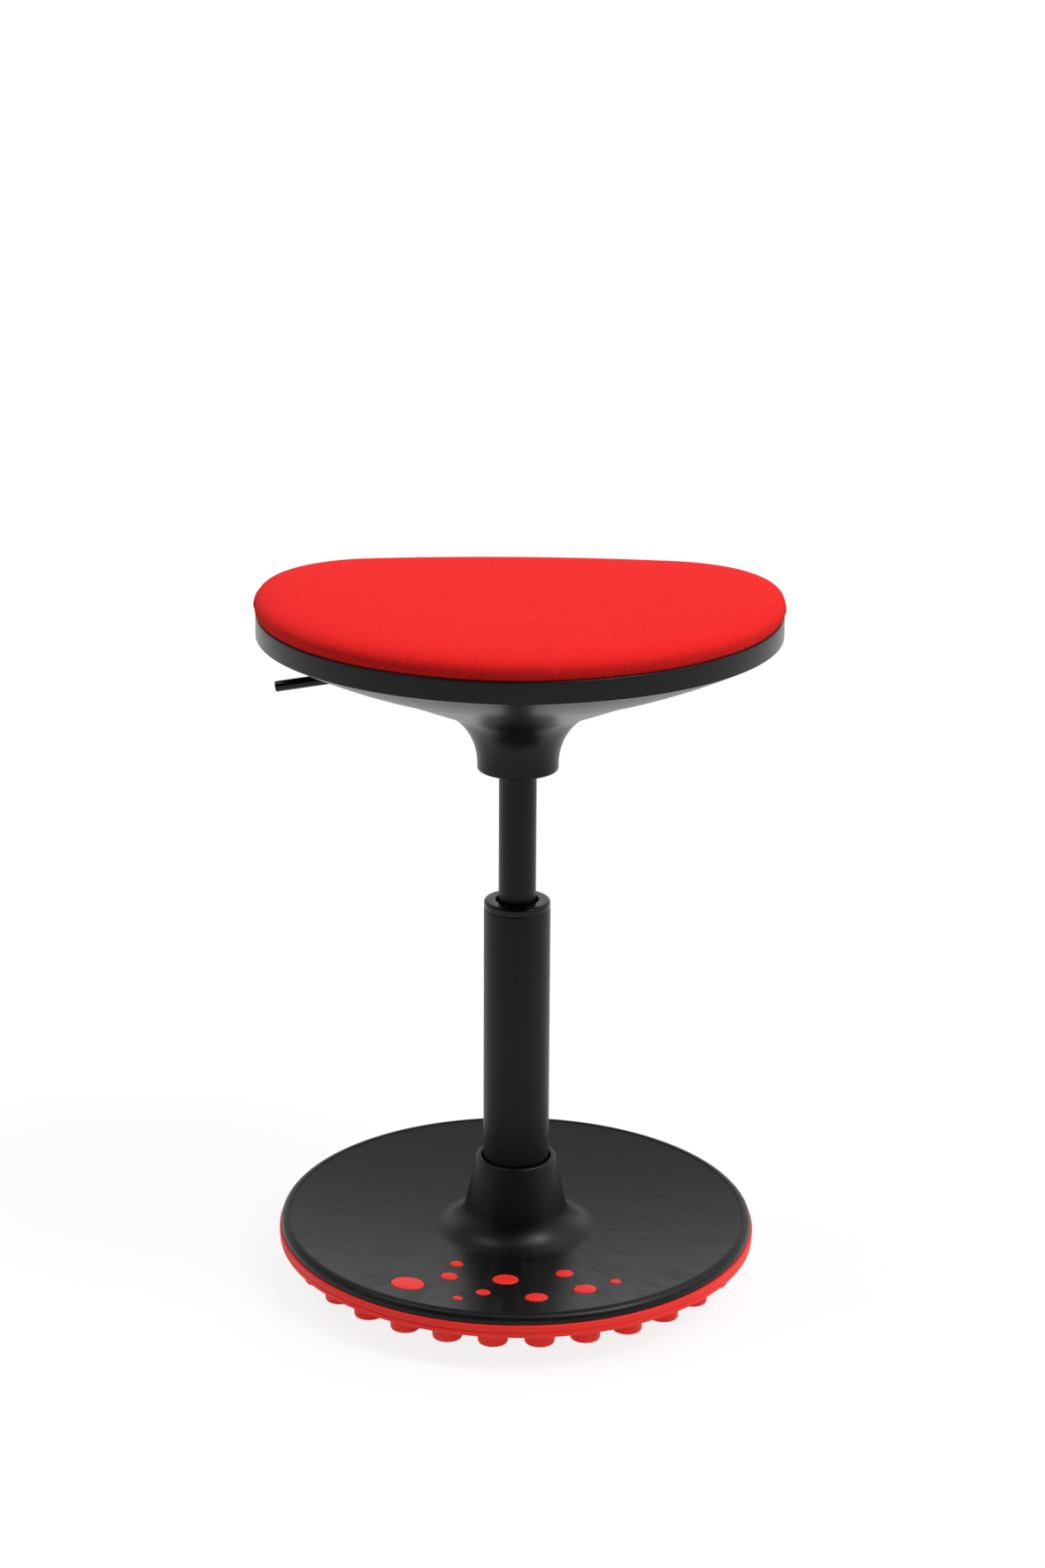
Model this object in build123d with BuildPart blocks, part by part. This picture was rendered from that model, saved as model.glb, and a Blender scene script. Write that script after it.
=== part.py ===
"""Active-sitting office stool: rocking base, gas-lift column, fabric seat and release lever.

Millimetres. Z is up from the floor, the column stands on the Z axis and -Y is the front.
"""
import os
from math import cos, degrees, radians, sin, sqrt, tan

from build123d import *

# Clearances
SEAT_GAP = 0.05        # between faces that are seated on each other
RUN_FIT = 0.05         # radial, a shaft in its bore
MOVE_GAP = 0.4         # between pieces that pass each other
SOFT_GAP = 0.3         # round foam and fabric
STUD_GAP = 0.5         # radial, round a stud in the dish
NECK_GAP = 1.0         # radial, round the gas cylinder in the neck
PIN_GAP = 0.3          # release pin to the lever over it

# Rubber sole
NUB_HEIGHT = 12.4
NUB_R = 11.1
NUB_PITCH = 33.0
INNER_RINGS = 4
RIM_NUBS = 30
RIM_NUB_R = 162.0
SOLE_SKIN = 4.0
SOLE_FLAT_R = 46.0
SOLE_TURN_R = 158.0
SOLE_RISE = 16.1
SOLE_R = 182.0
SOLE_BAND_H = 9.8
SOLE_BAND_T = 9.0
STUD_DOME = 0.6
# radius from the column, angle from +X, diameter
STUDS = [
    (143.6, -123.8, 25.4), (111.1, -116.5, 13.5), (86.3, -121.0, 10.4), (103.1, -94.4, 19.7),
    (150.7, -106.5, 8.1), (132.6, -100.6, 11.3), (140.7, -84.0, 17.4), (97.9, -68.4, 13.8),
    (134.0, -67.9, 17.5), (133.4, -56.7, 9.1),
]

# Base dish
DISH_SET = 1.4         # dish edge inside the sole's edge
DISH_EDGE_H = 7.5
DISH_EDGE_T = 6.5
DISH_EDGE_ROUND = 5.2
DISH_STEP = 0.5        # rolled edge over the hollow top
DISH_T = 4.0
DISH_CURVE_R = 1100.0
RIB_COUNT = 12
RIB_T = 3.0
HUB_HEIGHT = 46.2      # above the dish rim
HUB_FOOT_R = 43.0
HUB_FOOT_FILLET = 25.0
HUB_WALL = 3.5
HUB_GAP = 1.5          # radial, round the column
HUB_LIP = 1.5
HUB_LEG_T = 5.0
SOCKET_T = 4.0
SOCKET_LENGTH = 48.6

# Column
UNDER_SPACE = 5.0      # sole to the end of the tube
TUBE_R = 25.0
TUBE_WALL = 2.0
TUBE_FLOOR = 3.0
TUBE_LENGTH = 271.6
TUBE_TAPER = 1.2
BUSH_LENGTH = 88.0
BUSH_FLANGE_H = 6.1
BUSH_ROUND = 2.0
BUSH_MOUTH_R = 16.3
BUSH_MOUTH_H = 8.0
BUSH_SLIT = 1.4
BUSH_SLIT_ANGLE = 52.0
RACE_R = 12.0
RACE_T = 2.0
BALL_R = 2.0
BALL_COUNT = 8
BUFFER_R = 13.0
BUFFER_H = 8.0
WASHER_R = 9.0
WASHER_T = 1.0
CLIP_R = 8.0
CLIP_T = 1.2
CLIP_SLOT = 4.0

# Gas spring
ROD_R = 5.0
ROD_TIP_R = 4.0
ROD_STICK_OUT = 1.2
CYL_R = 14.0
CYL_WALL = 1.7
CYL_SHOWN = 102.0
CYL_LENGTH = 328.0
CYL_IN_NECK = 67.0
CYL_TAPER = 0.6
CYL_TAPER_L = 56.0
CYL_CAP = 6.0
GLAND_L = 22.0
LIFT_UP = 42.0         # height left above the pose shown
PISTON_H = 14.0
PISTON_SLACK = 0.4
SEAL_H = 3.0
SEAL_DEPTH = 2.4
VALVE_L = 26.0
PIN_R = 3.5
PIN_TAIL = 3.0

# Seat shell
SEAT_TURN_DEG = -1.2
FRONT_EDGE = 167.4
FRONT_R = 156.3
SIDE_R = 202.3
CORNER_R = 86.5
FRONT_END_DEG = 9.5    # turn of the outline where each arc ends
SIDE_END_DEG = 98.6
CORNER_END_DEG = 171.0
NECK_R = 30.15
NECK_WALL = 4.0
NECK_LIP = 3.0
NECK_ROUND = 2.0
FLARE_R = 46.9
CONE_DEG = 23.0
BOWL_R = 112.0
BOWL_RISE = 70.5       # neck end to the widest round of the cone
BOWL_EDGE = 25.9       # from there to the rim
BELLY_SHARE = 0.6
BELLY = 1.7
RIM_H = 16.0
RIM_DRAFT = 0.4
RIM_WALL = 3.2
RIM_ROUND = 1.5
RIM_FLOOR = 2.5

# Seat mechanism
PLATE_X = 120.0
PLATE_Y = 100.0
PLATE_T = 3.0
PLATE_CORNER = 12.0
PLATE_BOLT_X = 46.0
PLATE_BOLT_Y = 38.0
PLATE_BOSS_R = 6.5
PLATE_SCREW_R = 2.5
PLATE_SCREW_L = 8.0
PLATE_HEAD_R = 4.6
PLATE_HEAD_H = 3.2
PLATE_DROP = 1.0       # plate top below the gas spring's end
SLEEVE_T = 5.0
LEVER_R = 4.0
LEVER_OUT = 178.4
LEVER_DROP = 22.2
LEVER_TIP = 6.0
LEVER_BEND = 20.0
LEVER_CHAMFER = 0.7
PIVOT_OUT = 38.0
PIVOT_R = 2.0
PIN_SHOWN = 12.2       # release pin above the gas spring's end
EAR_X = 20.0
EAR_T = 3.0
EAR_GAP = 1.0
EAR_TOP = 7.0
BRACKET_T = 2.0
PIVOT_END = 1.5
SLOT_IN = 92.0
SLOT_OUT = 160.0
SLOT_W = 11.0

# Seat pad
BOARD_T = 10.0
BOARD_IN = 8.7         # board edge inside the seat's edge
BOARD_SUNK = 3.3       # board top below the rim
BOARD_BOLT = 85.0
BOARD_BOSS_R = 9.0
BOARD_SCREW_R = 3.0
BOARD_SCREW_HEAD_R = 5.0
BOARD_SCREW_HEAD_H = 4.0
BOARD_SCREW_REACH = 8.0
BOARD_BOSS_WALL = 12.0
ACCESS_R = 6.5
TEE_R = 4.0
TEE_FLANGE_R = 9.0
TEE_FLANGE_T = 1.3
COVER_T = 1.2
COVER_HANG = 8.5       # fabric down the board's side
PAD_H = 19.3           # rim to crown
# share of the pad's height, growth over the seat's edge, share of an inset that is taken downwards
PAD_FORM = [
    (0.00, -7.2, -0.4), (0.10, -3.6, -0.6), (0.20, -0.6, -0.3), (0.32, 0.8, 0.0), (0.48, 0.3, 0.2),
    (0.65, -3.2, 0.5), (0.79, -10.5, 0.8), (0.895, -23.0, 1.0), (0.963, -48.0, 1.0), (1.0, -80.0, 1.0),
]

# Heights from the floor up
Z_SKIN = NUB_HEIGHT
Z_SKIN_TOP = Z_SKIN + SOLE_SKIN
Z_EDGE = Z_SKIN + SOLE_RISE
Z_BAND = Z_EDGE + SOLE_BAND_H
Z_DISH_EDGE = Z_BAND + SEAT_GAP
Z_DISH_RIM = Z_DISH_EDGE + DISH_EDGE_H
Z_HUB = Z_DISH_RIM + HUB_HEIGHT
Z_TUBE = Z_SKIN_TOP + UNDER_SPACE
Z_SOCKET_TOP = Z_TUBE + SOCKET_LENGTH
Z_TUBE_TOP = Z_TUBE + TUBE_LENGTH
Z_BUSH = Z_TUBE_TOP + SEAT_GAP
Z_BUSH_TOP = Z_BUSH + BUSH_FLANGE_H
Z_RACE = Z_TUBE + TUBE_FLOOR + SEAT_GAP
Z_BALLS = Z_RACE + RACE_T + SEAT_GAP
Z_UPPER = Z_BALLS + 2 * BALL_R + SEAT_GAP
Z_SHOULDER = Z_UPPER + RACE_T + SEAT_GAP
Z_WASHER = Z_TUBE - MOVE_GAP - WASHER_T
Z_CLIP = Z_WASHER - SEAT_GAP - CLIP_T
Z_NECK = Z_BUSH_TOP + CYL_SHOWN
Z_CYL_TOP = Z_NECK + CYL_IN_NECK
Z_CYL = Z_CYL_TOP - CYL_LENGTH
Z_PISTON = Z_CYL + GLAND_L + SEAT_GAP + LIFT_UP + MOVE_GAP
Z_VALVE_TOP = Z_CYL_TOP - CYL_CAP - SEAT_GAP
Z_PLATE_TOP = Z_CYL_TOP - PLATE_DROP
Z_PLATE = Z_PLATE_TOP - PLATE_T
Z_PIN_TOP = Z_CYL_TOP + PIN_SHOWN
Z_PIVOT = Z_PIN_TOP + PIN_GAP + LEVER_R
Z_BOWL = Z_NECK + BOWL_RISE
Z_RIM = Z_BOWL + BOWL_EDGE
Z_RIM_TOP = Z_RIM + RIM_H
Z_BOARD_TOP = Z_RIM_TOP - BOARD_SUNK
Z_BOARD = Z_BOARD_TOP - BOARD_T
Z_PAD = Z_RIM_TOP + MOVE_GAP

DISH_R = SOLE_R - DISH_SET
DISH_IN_R = DISH_R - DISH_EDGE_T
TUBE_IN_R = TUBE_R - TUBE_WALL
HUB_BORE_R = TUBE_R + HUB_GAP
HUB_TOP_R = HUB_BORE_R + HUB_WALL
SOCKET_R = TUBE_R + SEAT_GAP + SOCKET_T
HUB_LEG_R = SOCKET_R + SEAT_GAP + HUB_LEG_T
BORE_R = CYL_R - CYL_WALL
SLEEVE_R = CYL_R + SEAT_GAP + SLEEVE_T

SEAT = Plane.XY.rotated((0, 0, SEAT_TURN_DEG))
SEAT_SIDE = Plane(origin=(0, 0, 0), x_dir=SEAT.x_dir, z_dir=-SEAT.y_dir)
PLATE_BOLTS = [(sx * PLATE_BOLT_X, sy * PLATE_BOLT_Y) for sx in (-1, 1) for sy in (-1, 1)]
BOARD_BOLTS = [(sx * BOARD_BOLT, sy * BOARD_BOLT) for sx in (-1, 1) for sy in (-1, 1)]


def nearest(things, u, v):
    """The one of some sketch vertices that lies closest to a point of the sketch."""
    return things.sort_by_distance(Vector(u, v))[0]


def sole_rise(r):
    """Height of the sole's curved underside over its flat middle."""
    run = min(max(r - SOLE_FLAT_R, 0), SOLE_TURN_R - SOLE_FLAT_R)
    curve = ((SOLE_TURN_R - SOLE_FLAT_R) ** 2 + SOLE_RISE ** 2) / (2 * SOLE_RISE)
    return curve - sqrt(curve ** 2 - run ** 2)


def sole_curve(lift):
    """The sole's profile from the middle to its edge ledge, as lines of the sketch in hand."""
    Line((0, Z_SKIN + lift), (SOLE_FLAT_R, Z_SKIN + lift))
    TangentArc((SOLE_FLAT_R, Z_SKIN + lift), (SOLE_TURN_R, Z_EDGE + lift), tangent=(1, 0))


def dish_top(r):
    """Height of the dish's hollow top at a distance from the column."""
    edge = Z_DISH_RIM - DISH_STEP
    return edge + sqrt(DISH_CURVE_R ** 2 - DISH_IN_R ** 2) - sqrt(DISH_CURVE_R ** 2 - r ** 2)


def dish_arc(inner, outer, drop):
    """The dish's hollow curve between two distances, lowered by a wall."""
    middle = (inner + outer) / 2
    places = [(r, dish_top(r) - drop) for r in (inner, middle, outer)]
    ThreePointArc(*places)


def tube_outer(z):
    """Radius of the column tube, which narrows into the hub."""
    return TUBE_R - TUBE_TAPER * max(0, Z_SOCKET_TOP - z) / SOCKET_LENGTH


def seat_arcs(share, grow):
    """The seat's outline as six tangent arcs, blended to a circle round the column as share falls to 0."""
    turns = [radians(a - 90) for a in (FRONT_END_DEG, SIDE_END_DEG, CORNER_END_DEG)]
    front = (0, FRONT_R - FRONT_EDGE)
    side = tuple(c + (FRONT_R - SIDE_R) * f(turns[0]) for c, f in zip(front, (cos, sin)))
    corner = tuple(c + (SIDE_R - CORNER_R) * f(turns[1]) for c, f in zip(side, (cos, sin)))
    back_r = CORNER_R + corner[0] / cos(turns[2])
    back = (0, corner[1] + (CORNER_R - back_r) * sin(turns[2]))
    ends = [degrees(t) for t in turns]
    rows = [
        (front, FRONT_R, -180 - ends[0], ends[0]),
        (side, SIDE_R, ends[0], ends[1]),
        (corner, CORNER_R, ends[1], ends[2]),
        (back, back_r, ends[2], 180 - ends[2]),
        ((-corner[0], corner[1]), CORNER_R, 180 - ends[2], 180 - ends[1]),
        ((-side[0], side[1]), SIDE_R, 180 - ends[1], 180 - ends[0]),
    ]
    for (cx, cy), radius, start, end in rows:
        blend = radius * share + BOWL_R * (1 - share) + grow
        CenterArc((cx * share, cy * share), blend, start, end - start)


def cone_z(r, lift):
    """Height of the seat cone at a distance from the column."""
    return Z_BOWL - (BOWL_R - r) * tan(radians(CONE_DEG)) + lift


def pad_rings(inset):
    """Heights and growths of the pad's sections, drawn in by an inset."""
    return [(Z_PAD + PAD_H * h - inset * down, grow - inset) for h, grow, down in PAD_FORM]


# Rubber sole: skin, edge band, floor nubs and the studs that show in the dish
with BuildPart() as rubber_sole:
    rings = [(k * NUB_PITCH, max(1, 6 * k), 0) for k in range(INNER_RINGS + 1)]
    rings.append((RIM_NUB_R, RIM_NUBS, 180 / RIM_NUBS - 90))
    for ring_r, count, start in rings:
        with BuildSketch(Plane.XY.offset(sole_rise(ring_r))):
            with PolarLocations(ring_r, count, start_angle=start):
                Circle(NUB_R)
        extrude(amount=NUB_HEIGHT + SOLE_RISE)
    with BuildSketch(Plane.XZ):
        with BuildLine():
            sole_curve(SOLE_SKIN / 2)
            Polyline((SOLE_TURN_R, Z_EDGE + SOLE_SKIN / 2), (SOLE_R, Z_EDGE + SOLE_SKIN / 2), (SOLE_R, 0),
                     (0, 0), (0, Z_SKIN + SOLE_SKIN / 2))
        make_face()
    revolve(axis=Axis.Z, mode=Mode.INTERSECT)
    with BuildSketch(Plane.XZ):
        with BuildLine():
            sole_curve(0)
            Polyline((SOLE_TURN_R, Z_EDGE), (SOLE_R, Z_EDGE), (SOLE_R, Z_BAND),
                     (SOLE_R - SOLE_BAND_T, Z_BAND), (SOLE_R - SOLE_BAND_T, Z_EDGE + SOLE_SKIN),
                     (SOLE_TURN_R, Z_EDGE + SOLE_SKIN))
            sole_curve(SOLE_SKIN)
            Line((0, Z_SKIN), (0, Z_SKIN_TOP))
        make_face()
    revolve(axis=Axis.Z)
    for stud_r, angle, dia in STUDS:
        foot = Z_SKIN + sole_rise(stud_r + dia / 2) + SOLE_SKIN / 2
        with BuildSketch(Plane.XY.offset(foot)):
            with PolarLocations(stud_r, 1, start_angle=angle):
                Circle(dia / 2)
        extrude(amount=Z_HUB - foot)
    with BuildSketch(Plane.XZ):
        with BuildLine():
            dish_arc(0, DISH_IN_R, -STUD_DOME)
            Polyline((DISH_IN_R, dish_top(DISH_IN_R) + STUD_DOME), (DISH_IN_R, Z_HUB + STUD_DOME),
                     (0, Z_HUB + STUD_DOME), (0, dish_top(0) + STUD_DOME))
        make_face()
    revolve(axis=Axis.Z, mode=Mode.SUBTRACT)
rubber_sole.part.label = "rubber_sole"

# Base dish: hollow top with a rolled edge, hub cone, ribs under it and holes for the studs
with BuildPart() as base_dish:
    with BuildSketch(Plane.XZ) as dish_form:
        with BuildLine():
            Polyline((DISH_IN_R, dish_top(DISH_IN_R)), (DISH_IN_R, Z_DISH_RIM), (DISH_R, Z_DISH_RIM),
                     (DISH_R, Z_DISH_EDGE), (DISH_IN_R, Z_DISH_EDGE),
                     (DISH_IN_R, dish_top(DISH_IN_R) - DISH_T))
            dish_arc(HUB_LEG_R, DISH_IN_R, DISH_T)
            Polyline((HUB_LEG_R, dish_top(HUB_LEG_R) - DISH_T), (HUB_LEG_R, Z_SKIN_TOP + SEAT_GAP),
                     (SOCKET_R + SEAT_GAP, Z_SKIN_TOP + SEAT_GAP),
                     (SOCKET_R + SEAT_GAP, Z_SOCKET_TOP + SEAT_GAP),
                     (HUB_BORE_R, Z_SOCKET_TOP + SEAT_GAP), (HUB_BORE_R, Z_HUB), (HUB_TOP_R, Z_HUB),
                     (HUB_FOOT_R, dish_top(HUB_FOOT_R)))
            dish_arc(HUB_FOOT_R, DISH_IN_R, 0)
        make_face()
        fillet(nearest(dish_form.vertices(), HUB_FOOT_R, dish_top(HUB_FOOT_R)), HUB_FOOT_FILLET)
        fillet(nearest(dish_form.vertices(), DISH_R, Z_DISH_RIM), DISH_EDGE_ROUND)
        fillet(nearest(dish_form.vertices(), HUB_TOP_R, Z_HUB), HUB_LIP)
    revolve(axis=Axis.Z)
    for k in range(RIB_COUNT):
        turn = radians(360 / RIB_COUNT * (k + 0.5))
        rib_plane = Plane(origin=(0, 0, 0), x_dir=(cos(turn), sin(turn), 0), z_dir=(sin(turn), -cos(turn), 0))
        with BuildSketch(rib_plane):
            with BuildLine():
                low = SOLE_SKIN + SEAT_GAP
                inner = HUB_LEG_R - HUB_LEG_T / 2
                Line((inner, Z_SKIN + low), (SOLE_FLAT_R, Z_SKIN + low))
                TangentArc((SOLE_FLAT_R, Z_SKIN + low), (SOLE_TURN_R, Z_EDGE + low), tangent=(1, 0))
                Polyline((SOLE_TURN_R, Z_EDGE + low), (SOLE_TURN_R, dish_top(SOLE_TURN_R) - DISH_T / 2))
                dish_arc(inner, SOLE_TURN_R, DISH_T / 2)
                Line((inner, dish_top(inner) - DISH_T / 2), (inner, Z_SKIN + low))
            make_face()
        extrude(amount=RIB_T / 2, both=True)
    for stud_r, angle, dia in STUDS:
        with BuildSketch(Plane.XY.offset(Z_SKIN)):
            with PolarLocations(stud_r, 1, start_angle=angle):
                Circle(dia / 2 + STUD_GAP)
        extrude(amount=Z_HUB - Z_SKIN, mode=Mode.SUBTRACT)
base_dish.part.label = "base_dish"

# Steel taper sleeve in the hub
with BuildPart() as hub_socket:
    with BuildSketch(Plane.XZ):
        with BuildLine():
            Polyline((tube_outer(Z_TUBE) + SEAT_GAP, Z_TUBE), (SOCKET_R, Z_TUBE), (SOCKET_R, Z_SOCKET_TOP),
                     (tube_outer(Z_SOCKET_TOP) + SEAT_GAP, Z_SOCKET_TOP), close=True)
        make_face()
    revolve(axis=Axis.Z)
hub_socket.part.label = "hub_socket"

# Column tube with its floor
with BuildPart() as column_tube:
    with BuildSketch(Plane.XZ):
        with BuildLine():
            Polyline((ROD_TIP_R + MOVE_GAP, Z_TUBE), (tube_outer(Z_TUBE), Z_TUBE), (TUBE_R, Z_SOCKET_TOP),
                     (TUBE_R, Z_TUBE_TOP), (TUBE_IN_R, Z_TUBE_TOP), (TUBE_IN_R, Z_SOCKET_TOP),
                     (tube_outer(Z_TUBE) - TUBE_WALL, Z_TUBE + TUBE_FLOOR),
                     (ROD_TIP_R + MOVE_GAP, Z_TUBE + TUBE_FLOOR), close=True)
        make_face()
    revolve(axis=Axis.Z)
column_tube.part.label = "column_tube"

# Guide bush with its ring on top of the tube
with BuildPart() as guide_bush:
    with BuildSketch(Plane.XZ) as bush_form:
        with BuildLine():
            Polyline((CYL_R + RUN_FIT, Z_BUSH - BUSH_LENGTH), (TUBE_IN_R - SEAT_GAP, Z_BUSH - BUSH_LENGTH),
                     (TUBE_IN_R - SEAT_GAP, Z_BUSH), (TUBE_R, Z_BUSH), (TUBE_R, Z_BUSH_TOP),
                     (BUSH_MOUTH_R, Z_BUSH_TOP), (BUSH_MOUTH_R, Z_BUSH_TOP - BUSH_MOUTH_H),
                     (CYL_R + RUN_FIT, Z_BUSH_TOP - BUSH_MOUTH_H), close=True)
        make_face()
        fillet(nearest(bush_form.vertices(), TUBE_R, Z_BUSH_TOP), BUSH_ROUND)
    revolve(axis=Axis.Z)
    with BuildSketch(Plane.XY.offset(Z_BUSH_TOP)):
        with PolarLocations((BUSH_MOUTH_R + TUBE_R) / 2, 1, start_angle=BUSH_SLIT_ANGLE):
            Rectangle(TUBE_R, BUSH_SLIT)
    extrude(amount=-BUSH_FLANGE_H, mode=Mode.SUBTRACT)
guide_bush.part.label = "guide_bush"

# Thrust bearing at the foot of the rod
with BuildPart() as bearing_lower_race:
    with BuildSketch(Plane.XY.offset(Z_RACE)):
        Circle(RACE_R)
        Circle(ROD_TIP_R + MOVE_GAP, mode=Mode.SUBTRACT)
    extrude(amount=RACE_T)
bearing_lower_race.part.label = "bearing_lower_race"

with BuildPart() as bearing_balls:
    with Locations((0, 0, Z_BALLS + BALL_R)):
        with PolarLocations((RACE_R + ROD_TIP_R) / 2, BALL_COUNT):
            Sphere(BALL_R)
bearing_balls.part.label = "bearing_balls"

with BuildPart() as bearing_upper_race:
    with BuildSketch(Plane.XY.offset(Z_UPPER)):
        Circle(RACE_R)
        Circle(ROD_TIP_R + SEAT_GAP, mode=Mode.SUBTRACT)
    extrude(amount=RACE_T)
bearing_upper_race.part.label = "bearing_upper_race"

with BuildPart() as rubber_buffer:
    with BuildSketch(Plane.XY.offset(Z_SHOULDER)):
        Circle(BUFFER_R)
        Circle(ROD_R + SEAT_GAP, mode=Mode.SUBTRACT)
    extrude(amount=BUFFER_H)
rubber_buffer.part.label = "rubber_buffer"

with BuildPart() as base_washer:
    with BuildSketch(Plane.XY.offset(Z_WASHER)):
        Circle(WASHER_R)
        Circle(ROD_TIP_R + SEAT_GAP, mode=Mode.SUBTRACT)
    extrude(amount=WASHER_T)
base_washer.part.label = "base_washer"

with BuildPart() as retaining_clip:
    with BuildSketch(Plane.XY.offset(Z_CLIP)):
        Circle(CLIP_R)
        Circle(ROD_TIP_R + SEAT_GAP, mode=Mode.SUBTRACT)
        with Locations((CLIP_R / 2, 0)):
            Rectangle(CLIP_R + SEAT_GAP, CLIP_SLOT, mode=Mode.SUBTRACT)
    extrude(amount=CLIP_T)
retaining_clip.part.label = "retaining_clip"

# Gas spring: rod and piston stay with the column, the cylinder rides with the seat
with BuildPart() as piston_rod:
    with BuildSketch(Plane.XZ):
        with BuildLine():
            Polyline((0, Z_CLIP - ROD_STICK_OUT), (ROD_TIP_R, Z_CLIP - ROD_STICK_OUT),
                     (ROD_TIP_R, Z_SHOULDER), (ROD_R, Z_SHOULDER), (ROD_R, Z_PISTON), (ROD_TIP_R, Z_PISTON),
                     (ROD_TIP_R, Z_PISTON + PISTON_H), (0, Z_PISTON + PISTON_H), close=True)
        make_face()
    revolve(axis=Axis.Z)
piston_rod.part.label = "piston_rod"

with BuildPart() as piston:
    groove = (PISTON_H - SEAL_H) / 2
    with BuildSketch(Plane.XZ):
        with BuildLine():
            base = Z_PISTON + SEAT_GAP
            side = BORE_R - PISTON_SLACK
            Polyline((ROD_TIP_R + SEAT_GAP, base), (side, base), (side, Z_PISTON + groove),
                     (side - SEAL_DEPTH, Z_PISTON + groove), (side - SEAL_DEPTH, Z_PISTON + groove + SEAL_H),
                     (side, Z_PISTON + groove + SEAL_H), (side, Z_PISTON + PISTON_H),
                     (ROD_TIP_R + SEAT_GAP, Z_PISTON + PISTON_H), close=True)
        make_face()
    revolve(axis=Axis.Z)
piston.part.label = "piston"

with BuildPart() as piston_seal:
    with BuildSketch(Plane.XY.offset(Z_PISTON + groove + SEAT_GAP)):
        Circle(BORE_R - RUN_FIT)
        Circle(BORE_R - PISTON_SLACK - SEAL_DEPTH + SEAT_GAP, mode=Mode.SUBTRACT)
    extrude(amount=SEAL_H - 2 * SEAT_GAP)
piston_seal.part.label = "piston_seal"

with BuildPart() as gas_cylinder:
    with BuildSketch(Plane.XZ):
        with BuildLine():
            Polyline((BORE_R, Z_CYL), (CYL_R, Z_CYL), (CYL_R, Z_CYL_TOP - CYL_TAPER_L),
                     (CYL_R - CYL_TAPER, Z_CYL_TOP), (PIN_R + RUN_FIT, Z_CYL_TOP),
                     (PIN_R + RUN_FIT, Z_CYL_TOP - CYL_CAP), (BORE_R, Z_CYL_TOP - CYL_CAP), close=True)
        make_face()
    revolve(axis=Axis.Z)
gas_cylinder.part.label = "gas_cylinder"

with BuildPart() as rod_gland:
    with BuildSketch(Plane.XY.offset(Z_CYL)):
        Circle(BORE_R - SEAT_GAP)
        Circle(ROD_R + RUN_FIT, mode=Mode.SUBTRACT)
    extrude(amount=GLAND_L)
rod_gland.part.label = "rod_gland"

with BuildPart() as valve_body:
    with BuildSketch(Plane.XY.offset(Z_VALVE_TOP - VALVE_L)):
        Circle(BORE_R - SEAT_GAP)
        Circle(PIN_R + RUN_FIT, mode=Mode.SUBTRACT)
    extrude(amount=VALVE_L)
valve_body.part.label = "valve_body"

with BuildPart() as release_pin:
    with BuildSketch(Plane.XY.offset(Z_VALVE_TOP - VALVE_L - PIN_TAIL)):
        Circle(PIN_R)
    extrude(amount=Z_PIN_TOP - Z_VALVE_TOP + VALVE_L + PIN_TAIL)
    fillet(release_pin.edges().group_by(Axis.Z)[-1], PIN_R / 2)
release_pin.part.label = "release_pin"

# Seat mechanism: taper sleeve, plate, lever bracket, pivot and lever
with BuildPart() as taper_socket:
    with BuildSketch(Plane.XZ):
        with BuildLine():
            low = Z_NECK + NECK_LIP + SEAT_GAP
            bend = Z_CYL_TOP - CYL_TAPER_L
            top_r = CYL_R - CYL_TAPER * (CYL_TAPER_L - PLATE_DROP) / CYL_TAPER_L + SEAT_GAP
            Polyline((CYL_R + SEAT_GAP, low), (SLEEVE_R, low), (SLEEVE_R, Z_PLATE_TOP), (top_r, Z_PLATE_TOP),
                     (CYL_R + SEAT_GAP, bend), close=True)
        make_face()
    revolve(axis=Axis.Z)
taper_socket.part.label = "taper_socket"

with BuildPart() as seat_plate:
    with BuildSketch(SEAT.offset(Z_PLATE)):
        RectangleRounded(PLATE_X, PLATE_Y, PLATE_CORNER)
        Circle(SLEEVE_R + SEAT_GAP, mode=Mode.SUBTRACT)
        with Locations(*PLATE_BOLTS):
            Circle(PLATE_SCREW_R + MOVE_GAP, mode=Mode.SUBTRACT)
    extrude(amount=PLATE_T)
seat_plate.part.label = "seat_plate"

with BuildPart() as lever_bracket:
    ear_in = LEVER_R + EAR_GAP
    with BuildSketch(SEAT.offset(Z_PLATE_TOP + SEAT_GAP)):
        with Locations((-PIVOT_OUT, 0)):
            Rectangle(EAR_X, 2 * (ear_in + EAR_T))
    extrude(amount=Z_PIVOT + EAR_TOP - Z_PLATE_TOP - SEAT_GAP)
    with BuildSketch(SEAT.offset(Z_PLATE_TOP + SEAT_GAP + BRACKET_T)):
        with Locations((-PIVOT_OUT, 0)):
            Rectangle(2 * EAR_X, 2 * ear_in)
    extrude(amount=Z_PIVOT, mode=Mode.SUBTRACT)
    with BuildSketch(SEAT_SIDE):
        with Locations((-PIVOT_OUT, Z_PIVOT)):
            Circle(PIVOT_R + SEAT_GAP)
    extrude(amount=2 * ear_in + 2 * EAR_T, both=True, mode=Mode.SUBTRACT)
    across = Axis(origin=(0, 0, 0), direction=SEAT.y_dir)
    fillet(lever_bracket.edges().filter_by(across).group_by(Axis.Z)[-1], EAR_TOP / 2)
lever_bracket.part.label = "lever_bracket"

with BuildPart() as pivot_pin:
    with BuildSketch(SEAT_SIDE):
        with Locations((-PIVOT_OUT, Z_PIVOT)):
            Circle(PIVOT_R)
    extrude(amount=ear_in + EAR_T + PIVOT_END, both=True)
pivot_pin.part.label = "pivot_pin"

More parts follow.
